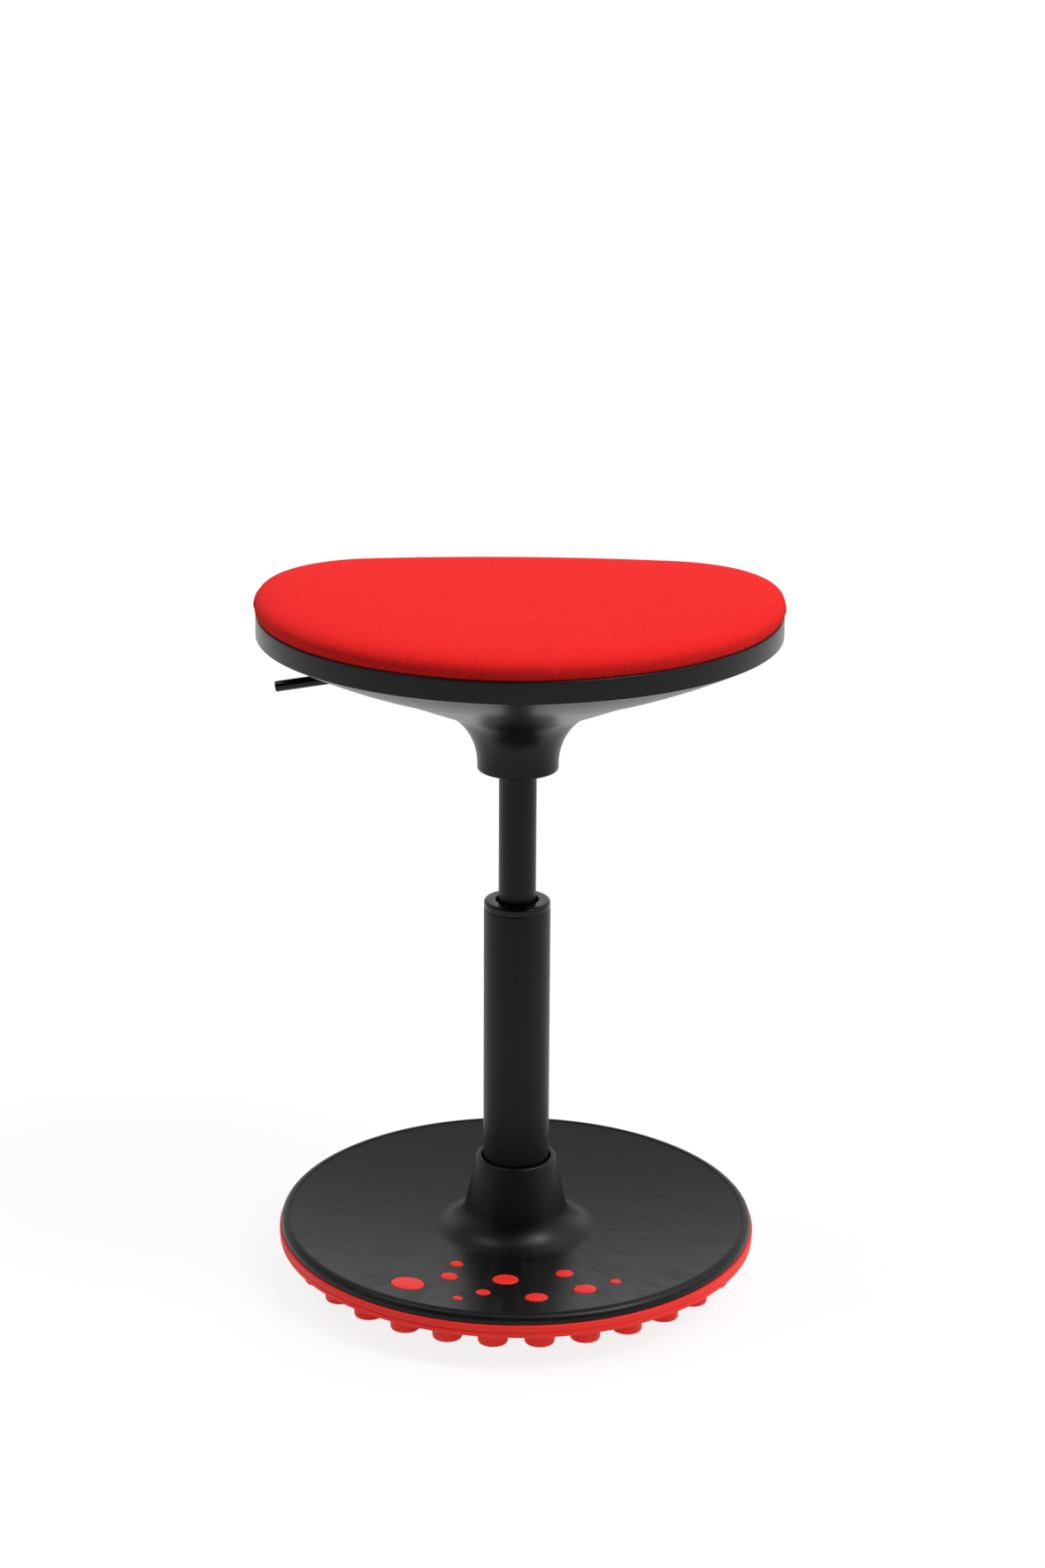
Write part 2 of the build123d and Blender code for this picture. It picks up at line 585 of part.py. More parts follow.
with BuildPart() as release_lever:
    with BuildLine(SEAT_SIDE) as lever_path:
        FilletPolyline((-LEVER_OUT, Z_PIVOT - LEVER_DROP), (-PIVOT_OUT, Z_PIVOT), (LEVER_TIP, Z_PIVOT),
                       radius=LEVER_BEND)
    with BuildSketch(Plane(origin=lever_path.line @ 0, z_dir=lever_path.line % 0)):
        Circle(LEVER_R)
    sweep()
    chamfer(release_lever.faces().sort_by_distance(lever_path.line @ 0)[0].edges(), LEVER_CHAMFER)
    with BuildSketch(SEAT_SIDE):
        with Locations((-PIVOT_OUT, Z_PIVOT)):
            Circle(PIVOT_R + RUN_FIT)
    extrude(amount=2 * LEVER_R, both=True, mode=Mode.SUBTRACT)
release_lever.part.label = "release_lever"

with BuildPart() as plate_screws:
    with BuildSketch(SEAT.offset(Z_PLATE_TOP + SEAT_GAP)):
        with Locations(*PLATE_BOLTS):
            Circle(PLATE_HEAD_R)
    extrude(amount=PLATE_HEAD_H)
    with BuildSketch(SEAT.offset(Z_PLATE_TOP + SEAT_GAP)):
        with Locations(*PLATE_BOLTS):
            Circle(PLATE_SCREW_R)
    extrude(amount=-PLATE_SCREW_L)
plate_screws.part.label = "plate_screws"

# Outer form of the seat shell: rim, bowl and trumpet neck
with BuildPart() as shell_form:
    for z, grow in ((Z_RIM_TOP, 0), (Z_RIM, -RIM_DRAFT)):
        with BuildSketch(SEAT.offset(z)):
            with BuildLine():
                seat_arcs(1, grow)
            make_face()
    loft(ruled=True)
    fillet(shell_form.edges().group_by(Axis.Z)[-1], RIM_ROUND)
    belly_z = Z_BOWL + BOWL_EDGE * BELLY_SHARE - BELLY
    for z, share in ((Z_RIM, 1), (belly_z, BELLY_SHARE), (Z_BOWL, 0)):
        with BuildSketch(SEAT.offset(z)):
            with BuildLine():
                seat_arcs(share, -RIM_DRAFT * share)
            make_face()
    loft()
    with BuildSketch(Plane.XZ) as neck_form:
        with BuildLine():
            Polyline((0, Z_NECK), (NECK_R, Z_NECK), (NECK_R, cone_z(NECK_R, 0)), (BOWL_R, Z_BOWL),
                     (0, Z_BOWL), close=True)
        make_face()
        fillet(nearest(neck_form.vertices(), NECK_R, cone_z(NECK_R, 0)), FLARE_R)
        fillet(nearest(neck_form.vertices(), NECK_R, Z_NECK), NECK_ROUND)
    revolve(axis=Axis.Z)

# Hollow of the seat shell, with the screw bosses left standing in it
with BuildPart() as shell_hollow:
    rise = NECK_WALL / cos(radians(CONE_DEG))
    inner_r = NECK_R - NECK_WALL
    for z, grow in ((Z_RIM_TOP, -RIM_WALL), (Z_RIM + RIM_FLOOR, -RIM_DRAFT - RIM_WALL)):
        with BuildSketch(SEAT.offset(z)):
            with BuildLine():
                seat_arcs(1, grow)
            make_face()
    loft(ruled=True)
    for z, share in ((Z_RIM + RIM_FLOOR, 1), (belly_z + rise, BELLY_SHARE), (Z_BOWL + rise, 0)):
        with BuildSketch(SEAT.offset(z)):
            with BuildLine():
                seat_arcs(share, -(RIM_DRAFT + RIM_WALL) * share)
            make_face()
    loft()
    with BuildSketch(Plane.XZ) as hollow_form:
        with BuildLine():
            Polyline((0, Z_NECK + NECK_LIP), (inner_r, Z_NECK + NECK_LIP), (inner_r, cone_z(inner_r, rise)),
                     (BOWL_R, Z_BOWL + rise), (0, Z_BOWL + rise), close=True)
        make_face()
        fillet(nearest(hollow_form.vertices(), inner_r, cone_z(inner_r, rise)), FLARE_R + NECK_WALL)
    revolve(axis=Axis.Z)
    with BuildSketch(SEAT.offset(Z_PLATE - SEAT_GAP)):
        with Locations(*PLATE_BOLTS):
            Circle(PLATE_BOSS_R)
    extrude(amount=-BOWL_RISE, mode=Mode.SUBTRACT)
    with BuildSketch(SEAT.offset(Z_BOARD - SEAT_GAP)):
        with Locations(*BOARD_BOLTS):
            Circle(BOARD_BOSS_R)
    extrude(amount=-BOWL_RISE, mode=Mode.SUBTRACT)

# Seat shell with its neck mouth, lever slot and screw holes
with BuildPart() as seat_shell:
    add(shell_form.part)
    add(shell_hollow.part, mode=Mode.SUBTRACT)
    with BuildSketch(Plane.XY.offset(Z_NECK)):
        Circle(CYL_R + NECK_GAP)
    extrude(amount=2 * NECK_LIP, mode=Mode.SUBTRACT)
    with BuildSketch(SEAT.offset(Z_NECK)):
        with Locations((-(SLOT_IN + SLOT_OUT) / 2, 0)):
            SlotOverall(SLOT_OUT - SLOT_IN, SLOT_W)
    extrude(amount=Z_RIM - Z_NECK, mode=Mode.SUBTRACT)
    with BuildSketch(SEAT.offset(Z_PLATE)):
        with Locations(*PLATE_BOLTS):
            Circle(PLATE_SCREW_R + SEAT_GAP)
    extrude(amount=-(PLATE_SCREW_L - PLATE_T), mode=Mode.SUBTRACT)
    with BuildSketch(SEAT.offset(Z_BOARD)):
        with Locations(*BOARD_BOLTS):
            Circle(BOARD_SCREW_R + MOVE_GAP)
    extrude(amount=-BOARD_BOSS_WALL, mode=Mode.SUBTRACT)
    with BuildSketch(SEAT.offset(Z_BOARD - BOARD_BOSS_WALL)):
        with Locations(*BOARD_BOLTS):
            Circle(ACCESS_R)
    extrude(amount=-BOWL_RISE, mode=Mode.SUBTRACT)
seat_shell.part.label = "seat_shell"

# Seat board with its tee nuts and the screws from below
with BuildPart() as seat_board:
    with BuildSketch(SEAT.offset(Z_BOARD)):
        with BuildLine():
            seat_arcs(1, -BOARD_IN)
        make_face()
        with Locations(*BOARD_BOLTS):
            Circle(TEE_R + SEAT_GAP, mode=Mode.SUBTRACT)
    extrude(amount=BOARD_T)
    with BuildSketch(SEAT.offset(Z_BOARD_TOP)):
        with Locations(*BOARD_BOLTS):
            Circle(TEE_FLANGE_R + SEAT_GAP)
    extrude(amount=-TEE_FLANGE_T - SEAT_GAP, mode=Mode.SUBTRACT)
seat_board.part.label = "seat_board"

with BuildPart() as tee_nuts:
    with BuildSketch(SEAT.offset(Z_BOARD_TOP)):
        with Locations(*BOARD_BOLTS):
            Circle(TEE_FLANGE_R)
    extrude(amount=-TEE_FLANGE_T)
    with BuildSketch(SEAT.offset(Z_BOARD_TOP)):
        with Locations(*BOARD_BOLTS):
            Circle(TEE_R)
    extrude(amount=-BOARD_T)
    with BuildSketch(SEAT.offset(Z_BOARD_TOP)):
        with Locations(*BOARD_BOLTS):
            Circle(BOARD_SCREW_R + SEAT_GAP)
    extrude(amount=-BOARD_T, mode=Mode.SUBTRACT)
tee_nuts.part.label = "tee_nuts"

with BuildPart() as board_screws:
    with BuildSketch(SEAT.offset(Z_BOARD - BOARD_BOSS_WALL - SEAT_GAP)):
        with Locations(*BOARD_BOLTS):
            Circle(BOARD_SCREW_HEAD_R)
    extrude(amount=-BOARD_SCREW_HEAD_H)
    with BuildSketch(SEAT.offset(Z_BOARD - BOARD_BOSS_WALL - SEAT_GAP)):
        with Locations(*BOARD_BOLTS):
            Circle(BOARD_SCREW_R)
    extrude(amount=BOARD_BOSS_WALL + BOARD_SCREW_REACH)
board_screws.part.label = "board_screws"

# Pad: fabric with drawn-in sides and a crown, drawn over the board's side, and the foam in it
with BuildPart() as pad_inside:
    for z, grow in pad_rings(COVER_T):
        with BuildSketch(SEAT.offset(z)):
            with BuildLine():
                seat_arcs(1, grow)
            make_face()
    loft(ruled=True)
    low_z, low_grow = pad_rings(COVER_T)[0]
    with BuildSketch(SEAT.offset(low_z)):
        with BuildLine():
            seat_arcs(1, low_grow)
        make_face()
    extrude(amount=-2 * COVER_HANG)

with BuildPart() as seat_cover:
    for z, grow in pad_rings(0):
        with BuildSketch(SEAT.offset(z)):
            with BuildLine():
                seat_arcs(1, grow)
            make_face()
    loft(ruled=True)
    low_z, low_grow = pad_rings(0)[0]
    with BuildSketch(SEAT.offset(low_z)):
        with BuildLine():
            seat_arcs(1, low_grow)
        make_face()
    extrude(amount=-COVER_HANG)
    add(pad_inside.part, mode=Mode.SUBTRACT)
seat_cover.part.label = "seat_cover"

with BuildPart() as seat_foam:
    for z, grow in pad_rings(COVER_T + SOFT_GAP):
        with BuildSketch(SEAT.offset(z)):
            with BuildLine():
                seat_arcs(1, grow)
            make_face()
    loft(ruled=True)
    low_z, low_grow = pad_rings(COVER_T + SOFT_GAP)[0]
    with BuildSketch(SEAT.offset(low_z)):
        with BuildLine():
            seat_arcs(1, low_grow)
        make_face()
    extrude(amount=-(low_z - Z_BOARD_TOP - SOFT_GAP))
seat_foam.part.label = "seat_foam"

os.makedirs("parts", exist_ok=True)
export_step(rubber_sole.part, "parts/rubber_sole.step")
export_step(base_dish.part, "parts/base_dish.step")
export_step(hub_socket.part, "parts/hub_socket.step")
export_step(column_tube.part, "parts/column_tube.step")
export_step(guide_bush.part, "parts/guide_bush.step")
export_step(bearing_lower_race.part, "parts/bearing_lower_race.step")
export_step(bearing_balls.part, "parts/bearing_balls.step")
export_step(bearing_upper_race.part, "parts/bearing_upper_race.step")
export_step(rubber_buffer.part, "parts/rubber_buffer.step")
export_step(base_washer.part, "parts/base_washer.step")
export_step(retaining_clip.part, "parts/retaining_clip.step")
export_step(piston_rod.part, "parts/piston_rod.step")
export_step(piston.part, "parts/piston.step")
export_step(piston_seal.part, "parts/piston_seal.step")
export_step(gas_cylinder.part, "parts/gas_cylinder.step")
export_step(rod_gland.part, "parts/rod_gland.step")
export_step(valve_body.part, "parts/valve_body.step")
export_step(release_pin.part, "parts/release_pin.step")
export_step(taper_socket.part, "parts/taper_socket.step")
export_step(seat_plate.part, "parts/seat_plate.step")
export_step(lever_bracket.part, "parts/lever_bracket.step")
export_step(pivot_pin.part, "parts/pivot_pin.step")
export_step(release_lever.part, "parts/release_lever.step")
export_step(plate_screws.part, "parts/plate_screws.step")
export_step(seat_shell.part, "parts/seat_shell.step")
export_step(seat_board.part, "parts/seat_board.step")
export_step(tee_nuts.part, "parts/tee_nuts.step")
export_step(board_screws.part, "parts/board_screws.step")
export_step(seat_cover.part, "parts/seat_cover.step")
export_step(seat_foam.part, "parts/seat_foam.step")
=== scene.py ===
"""Dresses the CAD frame of a rocking office stool: moulded pieces, an upholstered pad, finishes and a studio.

Metres. Z is up from the floor, the column stands on the Z axis and -Y is the front.
"""

from math import atan2, cos, hypot, pi, radians, sin, sqrt, tan

import bmesh
import bpy
from bpy.props import FloatProperty, FloatVectorProperty, IntProperty, PointerProperty
from mathutils import Matrix, Vector


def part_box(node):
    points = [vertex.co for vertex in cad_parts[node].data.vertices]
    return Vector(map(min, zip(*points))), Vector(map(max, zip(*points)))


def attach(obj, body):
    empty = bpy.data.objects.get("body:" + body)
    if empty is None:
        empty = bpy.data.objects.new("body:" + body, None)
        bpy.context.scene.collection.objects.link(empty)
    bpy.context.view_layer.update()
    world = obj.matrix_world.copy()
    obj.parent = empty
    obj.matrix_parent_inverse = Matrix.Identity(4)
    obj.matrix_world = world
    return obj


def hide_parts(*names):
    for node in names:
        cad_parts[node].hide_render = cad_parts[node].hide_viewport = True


bl_info = {
    "name": "Rocking office stool",
    "version": (1, 0, 0),
    "blender": (4, 5, 0),
    "location": "View3D > Sidebar > Stool",
    "description": "Builds the pieces, finishes and studio of a rocking office stool on its CAD frame",
    "category": "Object",
}

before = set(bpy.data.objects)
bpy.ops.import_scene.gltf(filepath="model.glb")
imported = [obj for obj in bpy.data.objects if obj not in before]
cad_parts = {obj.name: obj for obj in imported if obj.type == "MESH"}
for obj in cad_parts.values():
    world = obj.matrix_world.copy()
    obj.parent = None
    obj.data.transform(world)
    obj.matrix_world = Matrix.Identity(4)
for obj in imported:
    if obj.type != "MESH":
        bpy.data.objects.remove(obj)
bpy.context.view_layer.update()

TUBE_LOW, TUBE_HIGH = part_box("column_tube")
BUSH_LOW, BUSH_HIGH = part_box("guide_bush")
CYLINDER_LOW, CYLINDER_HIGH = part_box("gas_cylinder")
DISH_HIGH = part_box("base_dish")[1]
SOLE_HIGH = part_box("rubber_sole")[1]
SOCKET_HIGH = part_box("hub_socket")[1]
SHELL_LOW, SHELL_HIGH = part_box("seat_shell")
COVER_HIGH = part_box("seat_cover")[1]
PIVOT = (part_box("pivot_pin")[0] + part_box("pivot_pin")[1]) / 2

MERGE = 1e-6
ROUND_STEPS = 144
SCUFF_START, SCUFF_FULL = 0.168, 0.174
SMOOTH_UNDER = radians(32)

# Studs that show in the dish: distance from the column, angle from +X in degrees, diameter
STUDS = [
    (0.1436, -123.8, 0.0254), (0.1111, -116.5, 0.0135), (0.0863, -121.0, 0.0104), (0.1031, -94.4, 0.0197),
    (0.1507, -106.5, 0.0081), (0.1326, -100.6, 0.0113), (0.1407, -84.0, 0.0174), (0.0979, -68.4, 0.0138),
    (0.1340, -67.9, 0.0175), (0.1334, -56.7, 0.0091),
]

# The pad's section: share of its height, growth over the seat's edge
PAD_FORM = [
    (0.0, -0.0045), (0.10, -0.0024), (0.20, -0.0008), (0.32, -0.0002), (0.48, -0.0005), (0.65, -0.0036),
    (0.79, -0.0108), (0.895, -0.0230), (0.963, -0.0480), (1.0, -0.0800),
]

# Rows of beads in the weave: slope of a row across the cloth, weight of the row in the relief
WEAVE_ROWS = ((0.27, 0.15), (0.95, 0.5), (-0.95, 0.5))


def length(name, description, default):
    """A size in metres for a panel."""
    return FloatProperty(name=name, description=description, default=default, unit="LENGTH", precision=5)


def angle(name, description, default):
    """An angle for a panel, written in degrees."""
    return FloatProperty(name=name, description=description, default=radians(default), subtype="ANGLE")


def share(name, description, default):
    """A plain number for a panel."""
    return FloatProperty(name=name, description=description, default=default)


def count(name, description, default):
    """A whole number for a panel."""
    return IntProperty(name=name, description=description, default=default, min=1)


def colour(name, description, default):
    """A linear colour for a panel."""
    return FloatVectorProperty(name=name, description=description, default=default, subtype="COLOR",
                               min=0, max=1)


class SoleSizes(bpy.types.PropertyGroup):
    """Sizes of the rubber sole."""

    flat: length("Flat middle", "Radius of the level middle of the underside", 0.046)
    turn: length("Curve end", "Radius where the curved underside meets the edge ledge", 0.158)
    rise: length("Rise", "Height of the edge ledge over the level middle", 0.0161)
    skin: length("Skin", "Thickness of the sole", 0.004)
    band: length("Band height", "Height of the red edge", 0.0098)
    band_wall: length("Band depth", "Depth of the red edge", 0.009)
    edge: length("Band rounding", "Rounding of the red edge", 0.0012)
    line: share("Parting line", "Share of the band's height over the moulding line", 0.57)
    line_size: length("Parting line size", "Half width and depth of the moulding line", 0.0004)
    nub: length("Nub height", "Height of a floor nub", 0.0124)
    nub_radius: length("Nub radius", "Radius of a floor nub", 0.0111)
    nub_edge: length("Nub rounding", "Rounding of a nub's foot", 0.0015)
    nub_pitch: length("Nub pitch", "Distance between rings of inner nubs", 0.033)
    nub_rings: count("Nub rings", "Rings of inner nubs round the middle one", 4)
    rim_nubs: count("Rim nubs", "Nubs under the edge", 30)
    rim_nub_place: length("Rim nub place", "Distance of the edge nubs from the column", 0.162)
    stud_dome: length("Stud height", "Height of a stud over the dish", 0.0006)


class DishSizes(bpy.types.PropertyGroup):
    """Sizes of the moulded base dish."""

    curve: length("Curve", "Radius of the hollow top", 1.1)
    wall: length("Wall", "Thickness of the dish", 0.004)
    edge: length("Edge height", "Height of the rolled edge", 0.0075)
    edge_wall: length("Edge wall", "Thickness of the rolled edge", 0.0065)
    edge_round: length("Edge rounding", "Rounding of the rolled edge", 0.0052)
    step: length("Edge step", "Height of the rolled edge over the hollow top", 0.0005)
    groove: length("Edge groove", "Half width and depth of the line beside the rolled edge", 0.0002)
    bore: length("Bore", "Radius of the hole for the column", 0.0265)
    collar: length("Collar", "Radius of the collar at its top", 0.030)
    lip: length("Collar rounding", "Rounding of the collar's top edge", 0.0014)
    foot: length("Hub foot", "Radius of the hub where it meets the dish", 0.043)
    foot_round: length("Hub foot rounding", "Radius between hub and dish", 0.025)
    curve_from: length("Curve start", "Where the hollow top starts outside the hub's foot", 0.062)
    under_round: length("Lower edge", "Rounding of the rolled edge's foot", 0.0006)
    stud_gap: length("Stud gap", "Gap round a stud", 0.00025)


class ColumnSizes(bpy.types.PropertyGroup):
    """Sizes of the column, its bush and the gas cylinder."""

    tube_wall: length("Tube wall", "Wall of the column tube", 0.002)
    tube_taper: length("Tube taper", "How much the tube narrows into the hub", 0.0012)
    tube_edge: length("Tube edge", "Rounding of the tube's top edge", 0.0006)
    flange: length("Bush ring", "Height of the bush over the tube", 0.0061)
    flange_round: length("Bush rounding", "Rounding of the bush ring", 0.002)
    foot_round: length("Bush foot rounding", "Rounding where the ring meets the tube", 0.0005)
    mouth: length("Bush mouth", "Radius of the bush's open mouth", 0.0163)
    mouth_deep: length("Mouth depth", "Depth of the bush's open mouth", 0.008)
    slit: length("Slit", "Width of the slit in the bush ring", 0.0014)
    slit_turn: angle("Slit place", "Angle of the slit from +X", 52.0)
    slit_foot: length("Slit foot", "What is left of the ring under the slit", 0.0002)
    tube_gap: length("Tube gap", "Gap between the bush and the tube", 0.0001)
    bore_gap: length("Bore gap", "Gap between the bush and the cylinder", 0.00005)
    cylinder_wall: length("Cylinder wall", "Wall of the gas cylinder", 0.0017)
    cylinder_taper: length("Cylinder taper", "How much the cylinder narrows into the seat", 0.0006)
    taper_length: length("Taper length", "Length of the cylinder's taper", 0.056)


class SeatSizes(bpy.types.PropertyGroup):
    """Outline and sections of the seat shell, and the release lever."""

    turn: angle("Seat turn", "How far the seat is swivelled", -1.2)
    front: length("Front edge", "Distance of the front edge from the column", 0.1674)
    front_radius: length("Front radius", "Radius of the front nose", 0.1563)
    side_radius: length("Side radius", "Radius of the long sides", 0.2023)
    corner_radius: length("Corner radius", "Radius of the back corners", 0.0865)
    front_end: angle("Front end", "Turn of the outline where the nose ends", 9.5)
    side_end: angle("Side end", "Turn of the outline where a side ends", 98.6)
    corner_end: angle("Corner end", "Turn of the outline where a corner ends", 171.0)
    neck: length("Neck radius", "Radius of the neck", 0.03015)
    neck_wall: length("Neck wall", "Wall of the neck and bowl", 0.004)
    neck_round: length("Neck rounding", "Rounding of the neck's lower edge", 0.002)
    mouth: length("Neck mouth", "Radius of the hole for the gas cylinder", 0.015)
    flare: length("Flare radius", "Radius between neck and cone", 0.0469)
    cone: angle("Cone angle", "Slope of the cone over the flare", 23.0)
    bowl: length("Bowl radius", "Radius where the cone passes into the bowl", 0.112)
    bowl_rise: length("Bowl rise", "Neck end to the bowl", 0.0705)
    bowl_edge: length("Bowl edge", "Bowl to the rim", 0.0259)
    belly_share: share("Belly place", "Share of the bowl where it is fullest", 0.6)
    belly: length("Belly", "Fullness of the bowl", 0.0017)
    rim: length("Rim height", "Height of the rim", 0.016)
    rim_draft: length("Rim draft", "How far the rim narrows downwards", 0.0004)
    rim_wall: length("Rim wall", "Wall of the rim", 0.0032)
    rim_round: length("Rim rounding", "Rounding of the rim's top edge", 0.0012)
    rim_foot: length("Rim foot", "Rounding of the rim's lower edge", 0.0006)
    rim_break: length("Rim break", "Chamfer of the rim's inner edge", 0.0003)
    bowl_thin: share("Bowl thinning", "Share of the bowl's wall that is lost towards the rim", 0.4)
    slot_in: length("Slot inner end", "Inner end of the lever slot", 0.092)
    slot_out: length("Slot outer end", "Outer end of the lever slot", 0.160)
    slot_wide: length("Slot width", "Width of the lever slot", 0.011)
    screw_place: length("Screw place", "Half the pitch of the pad's screws", 0.085)
    screw_hole: length("Screw access", "Radius of the screw access holes", 0.0065)
    hole_from: length("Hole foot", "Height over the neck's end where the holes start", 0.01)
    hole_under: length("Hole top", "How far the holes stop under the rim", 0.001)
    lever: length("Lever radius", "Radius of the lever rod", 0.004)
    lever_out: length("Lever reach", "Distance of the lever's end from the column", 0.1784)
    lever_drop: length("Lever drop", "How far the lever's end hangs under the pivot", 0.0222)
    lever_tip: length("Lever tip", "How far the lever passes over the release pin", 0.006)
    lever_edge: length("Lever edge", "Chamfer of the lever's end", 0.0007)


class PadSizes(bpy.types.PropertyGroup):
    """Form of the upholstered pad."""

    crown: length("Crown", "Height of the pad over the rim", 0.0193)
    seat_in: length("Board step", "Depth of the pad's foot in the rim", 0.0036)
    spare: length("Spare", "How much larger the pad is cut, for what the tight cover takes up", 0.0033)
    lean: share("Lean", "Fall of the crown towards the lever's far side", 0.003)
    voxel: length("Mesh size", "Size of the cells of the filled pad", 0.0035)
    cap: length("Swell limit", "Furthest that a point of the pad may move", 0.005)
    pressure: share("Pressure", "Air pressure that fills the pad", 4.0)
    support: share("Support", "How firmly the foam under the cover holds its form", 0.5)
    tight: share("Tightness", "Share by which the cover is stretched over the pad", 0.005)
    stiffness: share("Stiffness", "Resistance of the cover to stretching", 30.0)
    frames: count("Frames", "Steps of the filling", 20)
    sharing: count("Sharing", "Passes that share out how far neighbouring points have moved", 24)
    ease: count("Ease", "Passes that even out the filled cover", 12)
    weave: length("Weave pitch", "Distance between the beads in a row of the weave", 0.0021)


class Finishes(bpy.types.PropertyGroup):
    """Colours of the stool's surfaces."""

    fabric: colour("Fabric", "Red woven cover", (0.96, 0.017, 0.015))
    rubber: colour("Rubber", "Red sole and studs", (0.80, 0.020, 0.012))
    dish: colour("Dish", "Moulded black base", (0.0022, 0.0022, 0.0022))
    shell: colour("Shell", "Moulded black seat shell", (0.0105, 0.0105, 0.0105))
    paint: colour("Paint", "Black powder coat of the column", (0.0022, 0.0022, 0.0022))
    gloss: colour("Gloss", "Polished black plastic and lever", (0.002, 0.002, 0.002))
    steel: colour("Steel", "Plain steel parts", (0.55, 0.55, 0.56))
    zinc: colour("Zinc", "Plated plate and screws", (0.60, 0.61, 0.63))
    brass: colour("Brass", "Valve", (0.72, 0.47, 0.18))
    dark_rubber: colour("Black rubber", "Buffer and seal", (0.012, 0.012, 0.012))
    plywood: colour("Plywood", "Seat board", (0.55, 0.36, 0.19))


class Studio(bpy.types.PropertyGroup):
    """Floor, light and camera."""

    floor: colour("Floor", "Pale floor", (0.93, 0.93, 0.93))
    floor_size: length("Floor size", "Half the width of the floor", 40.0)
    glow: share("Floor glow", "Share of the floor that shows plain white", 0.85)
    bounce: share("Floor bounce", "Paleness of the floor near the stool as a source of light", 0.93)
    bounce_far: share("Far bounce", "Paleness of the floor away from the stool as a source of light", 0.15)
    near: length("Near floor", "Distance from the column where the near bounce ends", 0.35)
    far: length("Far floor", "Distance from the column where the far bounce starts", 0.9)
    round_light: share("Surroundings", "Brightness of the surroundings at the sides and behind", 0.98)
    front_light: share("Front", "Brightness of the surroundings at the viewer's side", 0.06)
    left_share: share("Left", "Brightness of the left side as a share of the right's", 0.80)
    high_share: share("Upper wall", "Brightness over the backdrop as a share of the backdrop's", 0.55)
    over_light: share("Overhead", "Added brightness of the soft lamp overhead", 1.0)
    over_lean: angle("Overhead lean", "How far the soft lamp hangs to the right", 27.0)
    key: share("Key light", "Strength of the lamp at the right", 1.30)
    key_turn: angle("Key place", "Turn of the key lamp from the front", 62.0)
    key_height: angle("Key height", "How high the key lamp stands", 54.0)
    fill: share("Fill light", "Strength of the lamp at the left", 0.45)
    fill_turn: angle("Fill place", "Turn of the fill lamp from the front", -90.0)
    fill_height: angle("Fill height", "How high the fill lamp stands", 62.0)
    lamp_size: angle("Lamp size", "How wide the lamps look from the stool", 22.0)
    lens: FloatProperty(name="Lens", description="Focal length on a 36 mm long side", default=72.25)
    yaw: angle("Yaw", "How far the camera is turned to the side", 1.1744)
    pitch: angle("Pitch", "How far the camera looks down", 17.3571)
    roll: angle("Roll", "How far the camera leans", -0.1473)
    crop: share("Crop", "Sideways shift of the picture, as a share of its height", 0.05336)
    place: FloatVectorProperty(name="Camera", description="Where the camera stands", subtype="TRANSLATION",
                               default=(-0.012892, -2.220991, 1.083365))


# Shader building blocks

def new_material(name):
    """An empty material with its shader and its node tree."""
    made = bpy.data.materials.new(name)
    made.use_nodes = True
    return made, made.node_tree, made.node_tree.nodes["Principled BSDF"]


def feed(tree, made, sockets):
    """Gives a node's sockets their values or links."""
    for key, value in sockets.items():
        if isinstance(value, bpy.types.NodeSocket):
            tree.links.new(value, made.inputs[key])
        else:
            made.inputs[key].default_value = value


def node(tree, kind, settings=None, **sockets):
    """Adds a node with its options and sockets; S1 is the second socket."""
    made = tree.nodes.new(kind)
    for key, value in (settings or {}).items():
        setattr(made, key, value)
    feed(tree, made, {int(key[1:]) if key[1:].isdigit() else key: value for key, value in sockets.items()})
    return made


def place(tree):
    """Object coordinates."""
    return node(tree, "ShaderNodeTexCoord").outputs["Object"]


def noise(tree, vector, scale, detail=4.0, roughness=0.55):
    """Soft random pattern."""
    made = node(tree, "ShaderNodeTexNoise", Vector=vector, Scale=scale, Detail=detail, Roughness=roughness)
    return made.outputs["Fac"]


def ramp(tree, value, low, high, to_low=0.0, to_high=1.0):
    """Maps one range of a value smoothly to another."""
    return node(tree, "ShaderNodeMapRange", {"interpolation_type": "SMOOTHSTEP"}, Value=value, S1=low,
                S2=high, S3=to_low, S4=to_high).outputs["Result"]


def maths(tree, operation, first, second=0.0):
    """One operation on two values."""
    return node(tree, "ShaderNodeMath", {"operation": operation}, S0=first, S1=second).outputs["Value"]


def times(tree, first, second):
    """One value times another."""
    return maths(tree, "MULTIPLY", first, second)


def plus(tree, first, second):
    """The sum of two values."""
    return maths(tree, "ADD", first, second)


def mixed(tree, factor, first, second):
    """A blend of two colours."""
    return node(tree, "ShaderNodeMix", {"data_type": "RGBA"}, S0=factor, S6=first, S7=second).outputs[2]


def axes_of(tree, vector):
    """The X, Y and Z of a vector."""
    return node(tree, "ShaderNodeSeparateXYZ", Vector=vector).outputs


def stretched(tree, vector, scale, turn=0.0):
    """A place drawn out along its axes and turned about Z."""
    return node(tree, "ShaderNodeMapping", Vector=vector, Rotation=(0, 0, turn),
                Scale=scale).outputs["Vector"]


def size_of(tree, vector):
    """The length of a vector."""
    return node(tree, "ShaderNodeVectorMath", {"operation": "LENGTH"}, S0=vector).outputs["Value"]


def from_column(tree, axes):
    """Distance from the column."""
    return size_of(tree, node(tree, "ShaderNodeCombineXYZ", X=axes["X"], Y=axes["Y"]).outputs["Vector"])


def rgba(tone, scale=1.0):
    """A colour for a shader socket, lighter or darker by a scale."""
    return (*[min(1.0, c * scale) for c in tone], 1.0)


